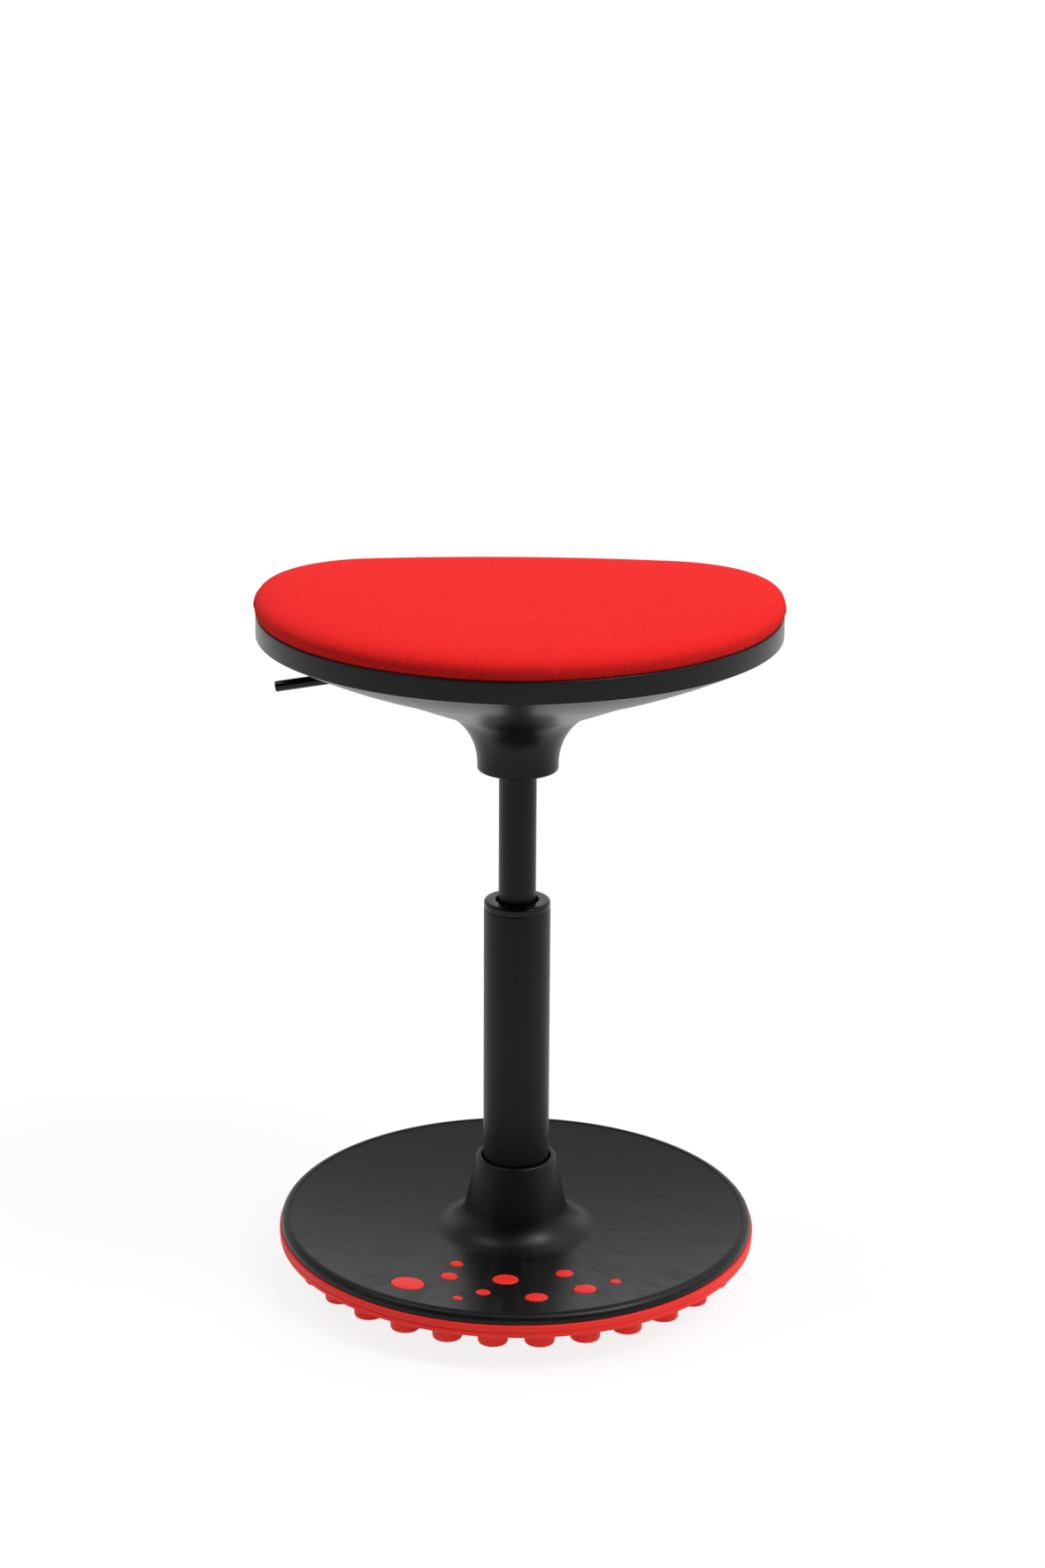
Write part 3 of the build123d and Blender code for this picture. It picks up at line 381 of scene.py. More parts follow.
def bumped(tree, shader, height, distance, strength=1.0):
    """Puts a height pattern on the shader."""
    made = node(tree, "ShaderNodeBump", Height=height, Distance=distance, Strength=strength)
    feed(tree, shader, {"Normal": made.outputs["Normal"]})


def grained(name, tone, rough, spread, grain, depth, metal=0.0, shine=0.5):
    """A finish with a fine grain, uneven gloss and faint changes of tone."""
    made, tree, shader = new_material(name)
    at = place(tree)
    cloud = noise(tree, at, 22.0, 3.0)
    feed(tree, shader, {
        "Base Color": mixed(tree, cloud, rgba(tone, 0.8), rgba(tone, 1.25)),
        "Roughness": ramp(tree, cloud, 0.3, 0.7, rough - spread, rough + spread),
        "Metallic": metal,
        "Specular IOR Level": shine,
    })
    bumped(tree, shader, noise(tree, at, 1 / grain), depth)
    return made, tree, shader


# Finishes

def dish_finish(tone):
    """Black moulded base: fine grain, faint rays of flow marks and scuffs along the front edge."""
    made, tree, shader = grained("black_dish", tone, 0.40, 0.04, 0.0009, 0.00004, shine=0.22)
    at = place(tree)
    axes = axes_of(tree, at)
    turn = maths(tree, "ARCTAN2", axes["Y"], axes["X"])
    out = from_column(tree, axes)
    fan = node(tree, "ShaderNodeCombineXYZ", X=times(tree, turn, 9.0),
               Y=times(tree, out, 14.0)).outputs["Vector"]
    rays = ramp(tree, noise(tree, fan, 1.6, 3.0), 0.42, 0.72)
    scuffs = scratches(tree, at, axes, out)
    flow = mixed(tree, rays, rgba(tone), rgba(tone, 1.9))
    uneven = ramp(tree, rays, 0.0, 1.0, 0.35, 0.42)
    feed(tree, shader, {
        "Base Color": mixed(tree, scuffs, flow, (0.11, 0.105, 0.10, 1)),
        "Roughness": plus(tree, uneven, times(tree, scuffs, 0.3)),
    })
    return made


def scratches(tree, at, axes, out):
    """Short pale scrapes near the dish's edge, on its front half."""
    drawn = stretched(tree, at, (60, 420, 200), radians(35))
    marks = ramp(tree, noise(tree, drawn, 1.0, 5.0, 0.7), 0.68, 0.80)
    patches = ramp(tree, noise(tree, at, 16.0, 2.0), 0.52, 0.66)
    edge = ramp(tree, out, SCUFF_START, SCUFF_FULL)
    front = ramp(tree, axes["Y"], 0.02, -0.06)
    return times(tree, times(tree, marks, patches), times(tree, edge, front))


def rubber_finish(tone):
    """Matt red rubber with a faint bloom and specks of dust."""
    made, tree, shader = grained("red_rubber", tone, 0.50, 0.05, 0.0007, 0.00004, shine=0.25)
    at = place(tree)
    specks = ramp(tree, noise(tree, at, 900.0, 2.0), 0.74, 0.80)
    bloom = mixed(tree, noise(tree, at, 30.0), rgba(tone, 0.92), rgba(tone, 1.08))
    dusty = mixed(tree, times(tree, specks, 0.35), bloom, (0.75, 0.35, 0.30, 1))
    feed(tree, shader, {"Base Color": dusty})
    return made


def shell_finish(tone):
    """Black moulded seat shell with a fine spark-eroded grain, smoother on the rim."""
    bowl_rough, rim_rough = 0.31, 0.28
    made, tree, shader = grained("black_shell", tone, bowl_rough, 0.01, 0.0006, 0.000006, shine=0.18)
    foot = SHELL_HIGH.z - bpy.context.scene.stool_seat.rim
    rough = ramp(tree, axes_of(tree, place(tree))["Z"], foot - 0.002, foot + 0.001, bowl_rough, rim_rough)
    feed(tree, shader, {"Roughness": rough})
    return made


def paint_finish(tone):
    """Black powder coat with a slight orange peel."""
    return grained("black_paint", tone, 0.36, 0.03, 0.0012, 0.00002, shine=0.22)[0]


def gloss_finish(name, tone):
    """Polished black with fine hairlines in its gloss."""
    return grained(name, tone, 0.16, 0.04, 0.002, 0.00001, shine=0.24)[0]


def steel_finish(name, tone, rough=0.3):
    """Drawn or plated metal with faint lines along it."""
    made, tree, shader = grained(name, tone, rough, 0.05, 0.0008, 0.00001, 1.0)
    lines = noise(tree, stretched(tree, place(tree), (900, 900, 30)), 1.0)
    feed(tree, shader, {"Roughness": ramp(tree, lines, 0.3, 0.7, rough - 0.06, rough + 0.1)})
    return made


def plywood_finish(tone):
    """Layered board: dark glue lines between the plies, with a long grain."""
    made, tree, shader = grained("plywood", tone, 0.6, 0.08, 0.0015, 0.00008)
    at = place(tree)
    plies = node(tree, "ShaderNodeTexWave", {"bands_direction": "Z"}, Vector=at, Scale=95.0, Distortion=0.6,
                 Detail=2.0).outputs["Fac"]
    fibre = noise(tree, stretched(tree, at, (30, 400, 200)), 1.0)
    layers = mixed(tree, times(tree, plies, fibre), rgba(tone, 0.55), rgba(tone, 1.2))
    feed(tree, shader, {"Base Color": layers})
    return made


def fabric_finish(tone, pitch):
    """Red hopsack: rows of beads set like bricks, with a painted highlight on the bead crowns, painted shade
    in the gaps between them and a slight nap.
    """
    made, tree, shader = new_material("red_fabric")
    cloth = node(tree, "ShaderNodeAttribute", {"attribute_name": "cloth_place"}).outputs["Vector"]
    wander = node(tree, "ShaderNodeTexNoise", Vector=cloth, Scale=60.0, Detail=2.0).outputs["Color"]
    drift = node(tree, "ShaderNodeVectorMath", {"operation": "MULTIPLY_ADD"}, S0=wander,
                 S1=(pitch * 0.4,) * 3, S2=cloth)
    axes = axes_of(tree, drift.outputs["Vector"])
    bead = 0.0
    for lean, weight in WEAVE_ROWS:
        along = plus(tree, axes["X"], times(tree, axes["Y"], lean))
        wave = maths(tree, "COSINE", times(tree, along, 2 * pi / pitch))
        bead = plus(tree, bead, times(tree, wave, weight))
    height = ramp(tree, bead, -0.8, 0.8)
    yarn = noise(tree, cloth, 700.0, 3.0)
    cloud = noise(tree, cloth, 14.0, 3.0)
    # Painted light and shade: the same relief that drives the bump paints the bead crowns paler as a
    # highlight and the gaps darker as shade.
    crown = mixed(tree, height, rgba(tone, 0.68), rgba(tone, 1.12))
    uneven = mixed(tree, ramp(tree, yarn, 0.35, 0.75, 0.0, 0.25), crown, rgba(tone, 0.72))
    feed(tree, shader, {
        "Base Color": mixed(tree, ramp(tree, cloud, 0.35, 0.7, 0.0, 0.12), uneven, rgba(tone, 0.8)),
        "Roughness": 0.88,
        "Specular IOR Level": 0.10,
        "Sheen Weight": 0.05,
        "Sheen Roughness": 0.4,
        "Sheen Tint": (1.0, 0.35, 0.32, 1.0),
    })
    bumped(tree, shader, height, pitch * 0.2, 0.7)
    return made


# Modelling helpers

def added(name, data):
    """A new object in the scene."""
    made = bpy.data.objects.new(name, data)
    bpy.context.scene.collection.objects.link(made)
    return made


def put_mesh(name, mesh, material, body, slot, *nodes):
    """Makes a mesh a piece: smooth faces, its finish, its body and the nodes it stands for. The slot is not
    used.
    """
    mesh.shade_smooth()
    mesh.set_sharp_from_angle(angle=SMOOTH_UNDER)
    mesh.materials.clear()
    mesh.materials.append(material)
    piece = added(name, mesh)
    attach(piece, body)
    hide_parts(*nodes)
    return piece


def rounded(bm, parts, size, segments, affect="EDGES"):
    """Rounds edges or corners, and gives the new vertices."""
    return bmesh.ops.bevel(bm, geom=list(parts), offset=size, offset_type="OFFSET", affect=affect,
                           segments=segments, profile=0.5, material=-1)["verts"]


def spun(bm, corners, segments=4):
    """Spins a closed profile of (radius, height, rounding) corners round the column."""
    points = [bm.verts.new((r, 0, z)) for r, z, _ in corners]
    for pair in zip(points, points[1:] + points[:1]):
        bm.edges.new(pair)
    for point, (_, _, size) in zip(points, corners):
        if size:
            rounded(bm, [point], size, segments, "VERTICES")
    wire = [e for e in bm.edges if e.is_wire]
    profile = wire + list({v for e in wire for v in e.verts})
    bmesh.ops.spin(bm, geom=profile, cent=(0, 0, 0), axis=(0, 0, 1), angle=2 * pi, steps=ROUND_STEPS,
                   use_merge=True)


def closed_mesh(name, bm):
    """A bmesh with its doubles merged and its faces turned outwards, as a mesh."""
    bmesh.ops.remove_doubles(bm, verts=bm.verts, dist=MERGE)
    bmesh.ops.recalc_face_normals(bm, faces=bm.faces)
    mesh = bpy.data.meshes.new(name)
    bm.to_mesh(mesh)
    bm.free()
    return mesh


def spun_mesh(name, corners, segments=4):
    """A profile spun round the column, as a mesh."""
    bm = bmesh.new()
    spun(bm, corners, segments)
    return closed_mesh(name, bm)


def cut(mesh, cutters):
    """A mesh with holes where closed cutters pass through it."""
    body = added("body_to_cut", mesh)
    tool = added("cutters", closed_mesh("cutters", cutters))
    step = body.modifiers.new("holes", "BOOLEAN")
    step.operation = "DIFFERENCE"
    step.solver = "EXACT"
    step.object = tool
    result = bpy.data.meshes.new_from_object(body.evaluated_get(bpy.context.evaluated_depsgraph_get()))
    for part in (body, tool):
        bpy.data.objects.remove(part)
    return result


def peg(bm, radius, low, high, segments=48):
    """An upright closed cylinder between two heights."""
    middle = Matrix.Translation((0, 0, (low + high) / 2))
    return bmesh.ops.create_cone(bm, cap_ends=True, segments=segments, radius1=radius, radius2=radius,
                                 depth=high - low, matrix=middle)["verts"]


def round_peg(bm, radius, low, high, end, size, steps, segments=48):
    """An upright cylinder with the edge at one end rounded in steps."""
    verts = peg(bm, radius, low, high, segments)
    edges = {e for v in verts for e in v.link_edges if all(abs(w.co.z - end) < MERGE for w in e.verts)}
    grown = rounded(bm, edges, size, steps)
    return list({v for v in verts if v.is_valid} | set(grown))


def round_about(distance, turn):
    """A point at a distance from the column, at an angle from +X."""
    return Vector((distance * cos(turn), distance * sin(turn), 0))


def sole_rise(sizes, r):
    """Height of the sole's curved underside over its level middle."""
    span = sizes.turn - sizes.flat
    curve = (span ** 2 + sizes.rise ** 2) / (2 * sizes.rise)
    return curve - sqrt(curve ** 2 - min(max(r - sizes.flat, 0), span) ** 2)


def dish_height(sizes, r):
    """Height of the dish's hollow top at a distance from the column."""
    edge = DISH_HIGH.x - sizes.edge_wall
    sole = bpy.context.scene.stool_sole
    rim = sole.nub + sole.rise + sole.band + sizes.edge - sizes.step
    return rim + sqrt(sizes.curve ** 2 - edge ** 2) - sqrt(sizes.curve ** 2 - r ** 2)


def steps_between(low, high, parts):
    """Evenly spaced values, both ends among them."""
    return [low + (high - low) * k / parts for k in range(parts + 1)]


def seat_point(seat, turn, blend, grow):
    """Point of the seat's outline that faces an angle, drawn to a circle as blend falls to 0."""
    ends = [a - pi / 2 for a in (seat.front_end, seat.side_end, seat.corner_end)]
    facing = Vector((cos(turn), sin(turn)))
    mirrored = Vector((abs(facing.x), facing.y))
    half = atan2(mirrored.y, mirrored.x)
    front = Vector((0, seat.front_radius - seat.front))
    side = front + (seat.front_radius - seat.side_radius) * Vector((cos(ends[0]), sin(ends[0])))
    corner = side + (seat.side_radius - seat.corner_radius) * Vector((cos(ends[1]), sin(ends[1])))
    back_radius = seat.corner_radius + corner.x / cos(ends[2])
    back = Vector((0, corner.y + (seat.corner_radius - back_radius) * sin(ends[2])))
    arcs = ((front, seat.front_radius), (side, seat.side_radius), (corner, seat.corner_radius),
            (back, back_radius))
    centre, radius = arcs[sum(half > end for end in ends)]
    reach = radius * blend + seat.bowl * (1 - blend) + grow
    point = Vector((centre.x * (1 if facing.x >= 0 else -1), centre.y)) * blend + facing * reach
    return Matrix.Rotation(seat.turn, 2) @ point


def seat_rings(bm, seat, rings, closed, segments=180):
    """Skins a stack of seat outlines of (blend, growth, height); closed joins the last to the first."""
    facing = bm.verts.layers.float.new("facing")
    loop = bmesh.ops.create_circle(bm, cap_ends=False, segments=segments, radius=1)["verts"]
    for v in loop:
        v[facing] = atan2(v.co.y, v.co.x)
    edges = bm.edges[:]
    first = edges
    for k, (blend, grow, height) in enumerate(rings):
        if k:
            grown = bmesh.ops.extrude_edge_only(bm, edges=edges)["geom"]
            loop = [g for g in grown if isinstance(g, bmesh.types.BMVert)]
            new = set(loop)
            edges = [g for g in grown if isinstance(g, bmesh.types.BMEdge) and new.issuperset(g.verts)]
        for v in loop:
            flat = seat_point(seat, v[facing], blend, grow)
            v.co = (flat.x, flat.y, height)
    if closed:
        bmesh.ops.bridge_loops(bm, edges=first + edges)
    return first, edges


# Operators, one for each group of pieces

class STOOL_OT_stage(bpy.types.Operator):
    """Pale floor, soft surroundings, two lamps and the camera"""

    bl_idname = "stool.stage"
    bl_label = "Stage"

    def execute(self, context):
        studio = context.scene.stool_studio
        context.scene.view_settings.view_transform = "Standard"
        self.lay_floor(studio)
        self.light(context, studio)
        self.stand_camera(context, studio)
        return {"FINISHED"}

    def lay_floor(self, studio):
        made, tree, shader = new_material("pale_floor")
        path = node(tree, "ShaderNodeLightPath").outputs
        seen = plus(tree, path["Is Camera Ray"], path["Is Glossy Ray"])
        seen = plus(tree, seen, path["Is Transmission Ray"])
        out = size_of(tree, place(tree))
        bounce = ramp(tree, out, studio.near, studio.far, studio.bounce, studio.bounce_far)
        pale = mixed(tree, seen, bounce, rgba(studio.floor))
        feed(tree, shader, {"Base Color": pale, "Roughness": 0.9, "Specular IOR Level": 0.0})
        white = node(tree, "ShaderNodeEmission", Color=(1, 1, 1, 1), Strength=1.0).outputs["Emission"]
        blend = node(tree, "ShaderNodeMixShader", S0=times(tree, seen, studio.glow),
                     S1=shader.outputs["BSDF"], S2=white)
        feed(tree, tree.nodes["Material Output"], {"Surface": blend.outputs["Shader"]})
        bm = bmesh.new()
        bmesh.ops.create_grid(bm, x_segments=1, y_segments=1, size=studio.floor_size)
        mesh = closed_mesh("floor", bm)
        mesh.materials.append(made)
        floor = added("floor", mesh)

    def light(self, context, studio):
        world = bpy.data.worlds.new("studio")
        context.scene.world = world
        world.use_nodes = True
        tree = world.node_tree
        # Directions of the sky: -Y is the viewer's side, X the right, Z up
        axes = axes_of(tree, node(tree, "ShaderNodeTexCoord").outputs["Generated"])
        level = ramp(tree, axes["Y"], -0.25, -0.8, studio.round_light, studio.front_light)
        level = times(tree, level, ramp(tree, axes["X"], -0.8, 0.3, studio.left_share, 1.0))
        level = times(tree, level, ramp(tree, axes["Z"], 0.25, 0.6, 1.0, studio.high_share))
        above = plus(tree, times(tree, axes["X"], sin(studio.over_lean)),
                     times(tree, axes["Z"], cos(studio.over_lean)))
        over = ramp(tree, above, 0.65, 0.97, 0.0, studio.over_light)
        feed(tree, tree.nodes["Background"], {"Color": (1, 1, 1, 1), "Strength": plus(tree, level, over)})
        lamps = (("key", studio.key, studio.key_turn, studio.key_height),
                 ("fill", studio.fill, studio.fill_turn, studio.fill_height))
        for name, strength, turn, height in lamps:
            lamp = bpy.data.lights.new(name, "SUN")
            lamp.energy = strength
            lamp.angle = studio.lamp_size
            added(name, lamp).rotation_euler = (pi / 2 - height, 0, turn)

    def stand_camera(self, context, studio):
        view = bpy.data.cameras.new("camera")
        view.sensor_fit = "VERTICAL"
        view.sensor_height = 36
        view.lens = studio.lens
        view.shift_x = studio.crop
        camera = added("camera", view)
        turned = Matrix.Rotation(studio.yaw, 4, "Z") @ Matrix.Rotation(pi / 2 - studio.pitch, 4, "X")
        camera.matrix_world = Matrix.Translation(studio.place) @ turned @ Matrix.Rotation(studio.roll, 4, "Z")
        context.scene.camera = camera


class STOOL_OT_sole(bpy.types.Operator):
    """Rubber sole with its banded edge, floor nubs and the studs that show in the dish"""

    bl_idname = "stool.sole"
    bl_label = "Rubber sole"

    def execute(self, context):
        sizes = context.scene.stool_sole
        bm = bmesh.new()
        self.skin(bm, sizes)
        self.nubs(bm, sizes)
        self.studs(bm, sizes, context.scene.stool_dish)
        coat = rubber_finish(context.scene.stool_finishes.rubber)
        put_mesh("sole", closed_mesh("sole", bm), coat, "base", "red_rubber", "rubber_sole")
        return {"FINISHED"}

    def skin(self, bm, sizes):
        outer = SOLE_HIGH.x
        ledge = sizes.nub + sizes.rise
        top = ledge + sizes.band
        line = top - sizes.band * sizes.line
        curve = steps_between(sizes.flat, sizes.turn, 14)
        under = [(r, sizes.nub + sole_rise(sizes, r), 0) for r in curve]
        over = [(r, z + sizes.skin, 0) for r, z, _ in reversed(under)]
        mark = sizes.line_size
        band = [(outer - mark, ledge, sizes.edge), (outer, line - mark, mark), (outer - 2 * mark, line, 0),
                (outer, line + mark, mark), (outer, top, sizes.edge), (outer - sizes.band_wall, top, 0),
                (outer - sizes.band_wall, ledge + sizes.skin, 0)]
        spun(bm, [(0, sizes.nub, 0)] + under + band + over + [(0, sizes.nub + sizes.skin, 0)])

    def nubs(self, bm, sizes):
        rings = [(k * sizes.nub_pitch, max(1, 6 * k), 0) for k in range(sizes.nub_rings + 1)]
        rings.append((sizes.rim_nub_place, sizes.rim_nubs, pi / sizes.rim_nubs - pi / 2))
        for distance, number, start in rings:
            low = sole_rise(sizes, distance)
            for k in range(number):
                verts = round_peg(bm, sizes.nub_radius, low, low + sizes.nub + sizes.skin, low,
                                  sizes.nub_edge, 2, 24)
                spot = round_about(distance, start + 2 * pi * k / number)
                bmesh.ops.translate(bm, verts=verts, vec=spot)

    def studs(self, bm, sizes, dish):
        for distance, turn, dia in STUDS:
            top = dish_height(dish, distance)
            slope = atan2(distance, sqrt(dish.curve ** 2 - distance ** 2))
            dome = sizes.stud_dome
            verts = round_peg(bm, dia / 2, -dish.wall, dome, dome, 2 * dome, 4)
            spot = Matrix.Rotation(radians(turn), 4, "Z") @ Matrix.Translation((distance, 0, top))
            bmesh.ops.transform(bm, verts=verts, matrix=spot @ Matrix.Rotation(-slope, 4, "Y"))


class STOOL_OT_dish(bpy.types.Operator):
    """Black moulded dish with its rolled edge, hub and the holes for the studs"""

    bl_idname = "stool.dish"
    bl_label = "Base dish"

    def execute(self, context):
        sizes = context.scene.stool_dish
        outer = DISH_HIGH.x
        edge_in = outer - sizes.edge_wall
        brim = dish_height(sizes, edge_in)
        top = brim + sizes.step
        low = top - sizes.edge
        hub = DISH_HIGH.z
        curve = steps_between(sizes.curve_from, edge_in, 24)
        fall = atan2(hub - dish_height(sizes, sizes.foot), sizes.foot - sizes.collar)
        foot_size = sizes.foot_round * tan((fall + sizes.foot / sizes.curve) / 2)
        corners = [(sizes.bore, hub, sizes.lip / 2), (sizes.collar, hub, sizes.lip),
                   (sizes.foot, dish_height(sizes, sizes.foot), foot_size)]
        corners += [(r, dish_height(sizes, r), 0) for r in curve[:-1]]
        corners += [(edge_in - sizes.groove, brim, 0), (edge_in, brim - sizes.groove, 0),
                    (edge_in, top, sizes.groove), (outer, top, sizes.edge_round),
                    (outer, low, sizes.under_round), (edge_in, low, 0)]
        corners += [(r, dish_height(sizes, r) - sizes.wall, 0) for r in reversed(curve)]
        corners.append((sizes.bore, dish_height(sizes, sizes.bore) - sizes.wall, 0))
        holes = bmesh.new()
        for distance, turn, dia in STUDS:
            verts = peg(holes, dia / 2 + sizes.stud_gap, 0, hub)
            bmesh.ops.translate(holes, verts=verts, vec=round_about(distance, radians(turn)))
        mesh = cut(spun_mesh("dish", corners, 10), holes)
        coat = dish_finish(context.scene.stool_finishes.dish)
        put_mesh("dish", mesh, coat, "base", "black_plastic", "base_dish")
        return {"FINISHED"}


class STOOL_OT_column(bpy.types.Operator):
    """Column tube, its guide bush and the gas cylinder"""

    bl_idname = "stool.column"
    bl_label = "Column"

    def execute(self, context):
        sizes = context.scene.stool_column
        finishes = context.scene.stool_finishes
        coat = paint_finish(finishes.paint)
        self.tube(sizes, coat)
        self.bush(sizes, gloss_finish("black_gloss_plastic", finishes.gloss))
        self.cylinder(sizes, coat)
        return {"FINISHED"}

    def tube(self, sizes, coat):
        outer = TUBE_HIGH.x
        inner = outer - sizes.tube_wall
        foot = outer - sizes.tube_taper
        bend = SOCKET_HIGH.z
        corners = [(foot - sizes.tube_wall, TUBE_LOW.z, 0), (foot, TUBE_LOW.z, 0), (outer, bend, 0),
                   (outer, TUBE_HIGH.z, sizes.tube_edge), (inner, TUBE_HIGH.z, 0), (inner, bend, 0)]
        put_mesh("column", spun_mesh("column", corners), coat, "base", "black_paint", "column_tube")

    def bush(self, sizes, gloss):
        outer = BUSH_HIGH.x
        top = BUSH_HIGH.z
        low = top - sizes.flange
        deep = top - sizes.mouth_deep
        neck = TUBE_HIGH.x - sizes.tube_wall - sizes.tube_gap
        bore = CYLINDER_HIGH.x + sizes.bore_gap
        corners = [(bore, BUSH_LOW.z, 0), (neck, BUSH_LOW.z, 0), (neck, low, 0),
                   (outer, low, sizes.foot_round), (outer, top, sizes.flange_round),
                   (sizes.mouth, top, sizes.foot_round), (sizes.mouth, deep, 0), (bore, deep, 0)]
        slit = bmesh.new()
        turned = Matrix.Rotation(sizes.slit_turn, 4, "Z")
        across = Matrix.Translation(((sizes.mouth + outer) / 2, 0, top))
        size = Matrix.Diagonal((outer, sizes.slit, 2 * (sizes.flange - sizes.slit_foot), 1))
        bmesh.ops.create_cube(slit, size=1, matrix=turned @ across @ size)
        mesh = cut(spun_mesh("bush", corners, 6), slit)
        put_mesh("bush", mesh, gloss, "base", "black_satin", "guide_bush")

    def cylinder(self, sizes, coat):
        outer = CYLINDER_HIGH.x
        inner = outer - sizes.cylinder_wall
        taper = sizes.cylinder_taper
        bend = CYLINDER_HIGH.z - sizes.taper_length
        corners = [(inner, CYLINDER_LOW.z, 0), (outer, CYLINDER_LOW.z, 0), (outer, bend, 0),
                   (outer - taper, CYLINDER_HIGH.z, 0), (inner - taper, CYLINDER_HIGH.z, 0), (inner, bend, 0)]
        put_mesh("cylinder", spun_mesh("cylinder", corners), coat, "seat", "black_paint", "gas_cylinder")


class STOOL_OT_shell(bpy.types.Operator):
    """Seat shell: trumpet neck, cone, bowl and rim, with the lever slot and screw holes"""

    bl_idname = "stool.shell"
    bl_label = "Seat shell"

    def execute(self, context):
        seat = context.scene.stool_seat
        bm = bmesh.new()
        outside = self.neck(seat, 0) + self.bowl(seat, 0)
        inside = self.neck(seat, seat.neck_wall) + self.bowl(seat, seat.neck_wall)
        mouth = [(0, seat.mouth - seat.bowl, SHELL_LOW.z + wall) for wall in (seat.neck_wall, 0)]
        seat_rings(bm, seat, mouth + outside + self.rim(seat) + inside[::-1], True)
        mesh = cut(closed_mesh("shell", bm), self.holes(seat))
        coat = shell_finish(context.scene.stool_finishes.shell)
        put_mesh("shell", mesh, coat, "seat", "black_plastic", "seat_shell")
        return {"FINISHED"}

    def neck(self, seat, wall):
        """Rings of the neck and its flare, drawn in by a wall."""
        radius = seat.neck - wall
        bend = seat.flare + wall
        low = SHELL_LOW.z + wall
        sweep = pi / 2 - seat.cone
        rise = seat.bowl_rise + wall / cos(seat.cone) - (seat.bowl - radius) * tan(seat.cone)
        start = SHELL_LOW.z + rise - bend * tan(sweep / 2)
        edge = 0 if wall else seat.neck_round
        turns = steps_between(0, pi / 2, 5 if edge else 1)
        rings = [(radius - edge * (1 - sin(a)), low + edge * (1 - cos(a))) for a in turns]
        rings += [(radius + bend * (1 - cos(a)), start + bend * sin(a)) for a in steps_between(0, sweep, 16)]
        return [(0, r - seat.bowl, z) for r, z in rings]

    def bowl(self, seat, wall):
        """Rings from the cone to the rim, drawn in by a wall."""
        low = SHELL_LOW.z + seat.bowl_rise
        rise = wall / cos(seat.cone)
        full = seat.belly_share
        bulge = (seat.bowl_edge * full - seat.belly) / full
        bend = (seat.bowl_edge - bulge) / (1 - full)
        inner = seat.rim_wall if wall else 0
        rings = []
        for t in steps_between(0, 1, 20):
            height = low + bulge * t + bend * t * (t - full)
            rings.append((t, -(seat.rim_draft + inner) * t, height + rise * (1 - seat.bowl_thin * t)))
        return rings

    def rim(self, seat):
        """Rings up the rim, over its edge and down inside it."""
        low = SHELL_LOW.z + seat.bowl_rise + seat.bowl_edge
        top = low + seat.rim
        edge = seat.rim_foot
        foot = [(1, edge * sin(a) - seat.rim_draft, low + edge * (1 - cos(a)))
                for a in steps_between(0, pi / 2, 4)]
        edge = seat.rim_round
        over = [(1, -edge * (1 - cos(a)), top - edge * (1 - sin(a))) for a in steps_between(0, pi / 2, 6)]
        edge = seat.rim_break
        inner = [(1, -seat.rim_wall, top), (1, -seat.rim_wall - edge * 2 / 3, top - edge)]
        return foot + over + inner

    def holes(self, seat):
        """Cutters of the lever slot and the screw holes."""
        cutters = bmesh.new()
        half = seat.slot_wide / 2
        low = SHELL_LOW.z + seat.hole_from
        high = SHELL_LOW.z + seat.bowl_rise + seat.bowl_edge - seat.hole_under
        verts = peg(cutters, half, low, high, 32)
        far = [v for v in verts if v.co.x < -MERGE]
        bmesh.ops.translate(cutters, verts=far, vec=(seat.slot_in - seat.slot_out + 2 * half, 0, 0))
        bmesh.ops.translate(cutters, verts=verts, vec=(-seat.slot_in - half, 0, 0))
        for corner in ((-1, -1, 0), (-1, 1, 0), (1, -1, 0), (1, 1, 0)):
            hole = peg(cutters, seat.screw_hole, low, high, 32)
            bmesh.ops.translate(cutters, verts=hole, vec=Vector(corner) * seat.screw_place)
        bmesh.ops.transform(cutters, verts=cutters.verts, matrix=Matrix.Rotation(seat.turn, 4, "Z"))
        return cutters


class STOOL_OT_lever(bpy.types.Operator):
    """Release lever: a bent glossy rod"""

    bl_idname = "stool.lever"
    bl_label = "Release lever"

    def execute(self, context):
        seat = context.scene.stool_seat
        out = hypot(PIVOT.x, PIVOT.y)
        lean = atan2(seat.lever_drop, seat.lever_out - out)
        path = [(-seat.lever_out, PIVOT.z - seat.lever_drop, lean), (-out, PIVOT.z, lean / 2),
                (seat.lever_tip, PIVOT.z, 0)]
        bm = bmesh.new()
        end = bmesh.ops.create_circle(bm, cap_ends=True, segments=32, radius=seat.lever)["verts"]
        rod = bm.faces[:]
        frames = [Matrix.Translation((x, 0, z)) @ Matrix.Rotation(pi / 2 - a, 4, "Y") for x, z, a in path]
        bmesh.ops.transform(bm, verts=end, matrix=frames[0])
        for before, after in zip(frames, frames[1:]):
            grown = bmesh.ops.extrude_face_region(bm, geom=rod)["geom"]
            rod = [g for g in grown if isinstance(g, bmesh.types.BMFace)]
            verts = [g for g in grown if isinstance(g, bmesh.types.BMVert)]
            bmesh.ops.transform(bm, verts=verts, matrix=after @ before.inverted())
        caps = {e for f in bm.faces if len(f.verts) > 4 for e in f.edges}
        rounded(bm, caps, seat.lever_edge, 3)
        bmesh.ops.transform(bm, verts=bm.verts, matrix=Matrix.Rotation(seat.turn, 4, "Z"))
        coat = gloss_finish("black_gloss_paint", context.scene.stool_finishes.gloss)
        put_mesh("lever", closed_mesh("lever", bm), coat, "lever", "black_gloss", "release_lever")
        return {"FINISHED"}


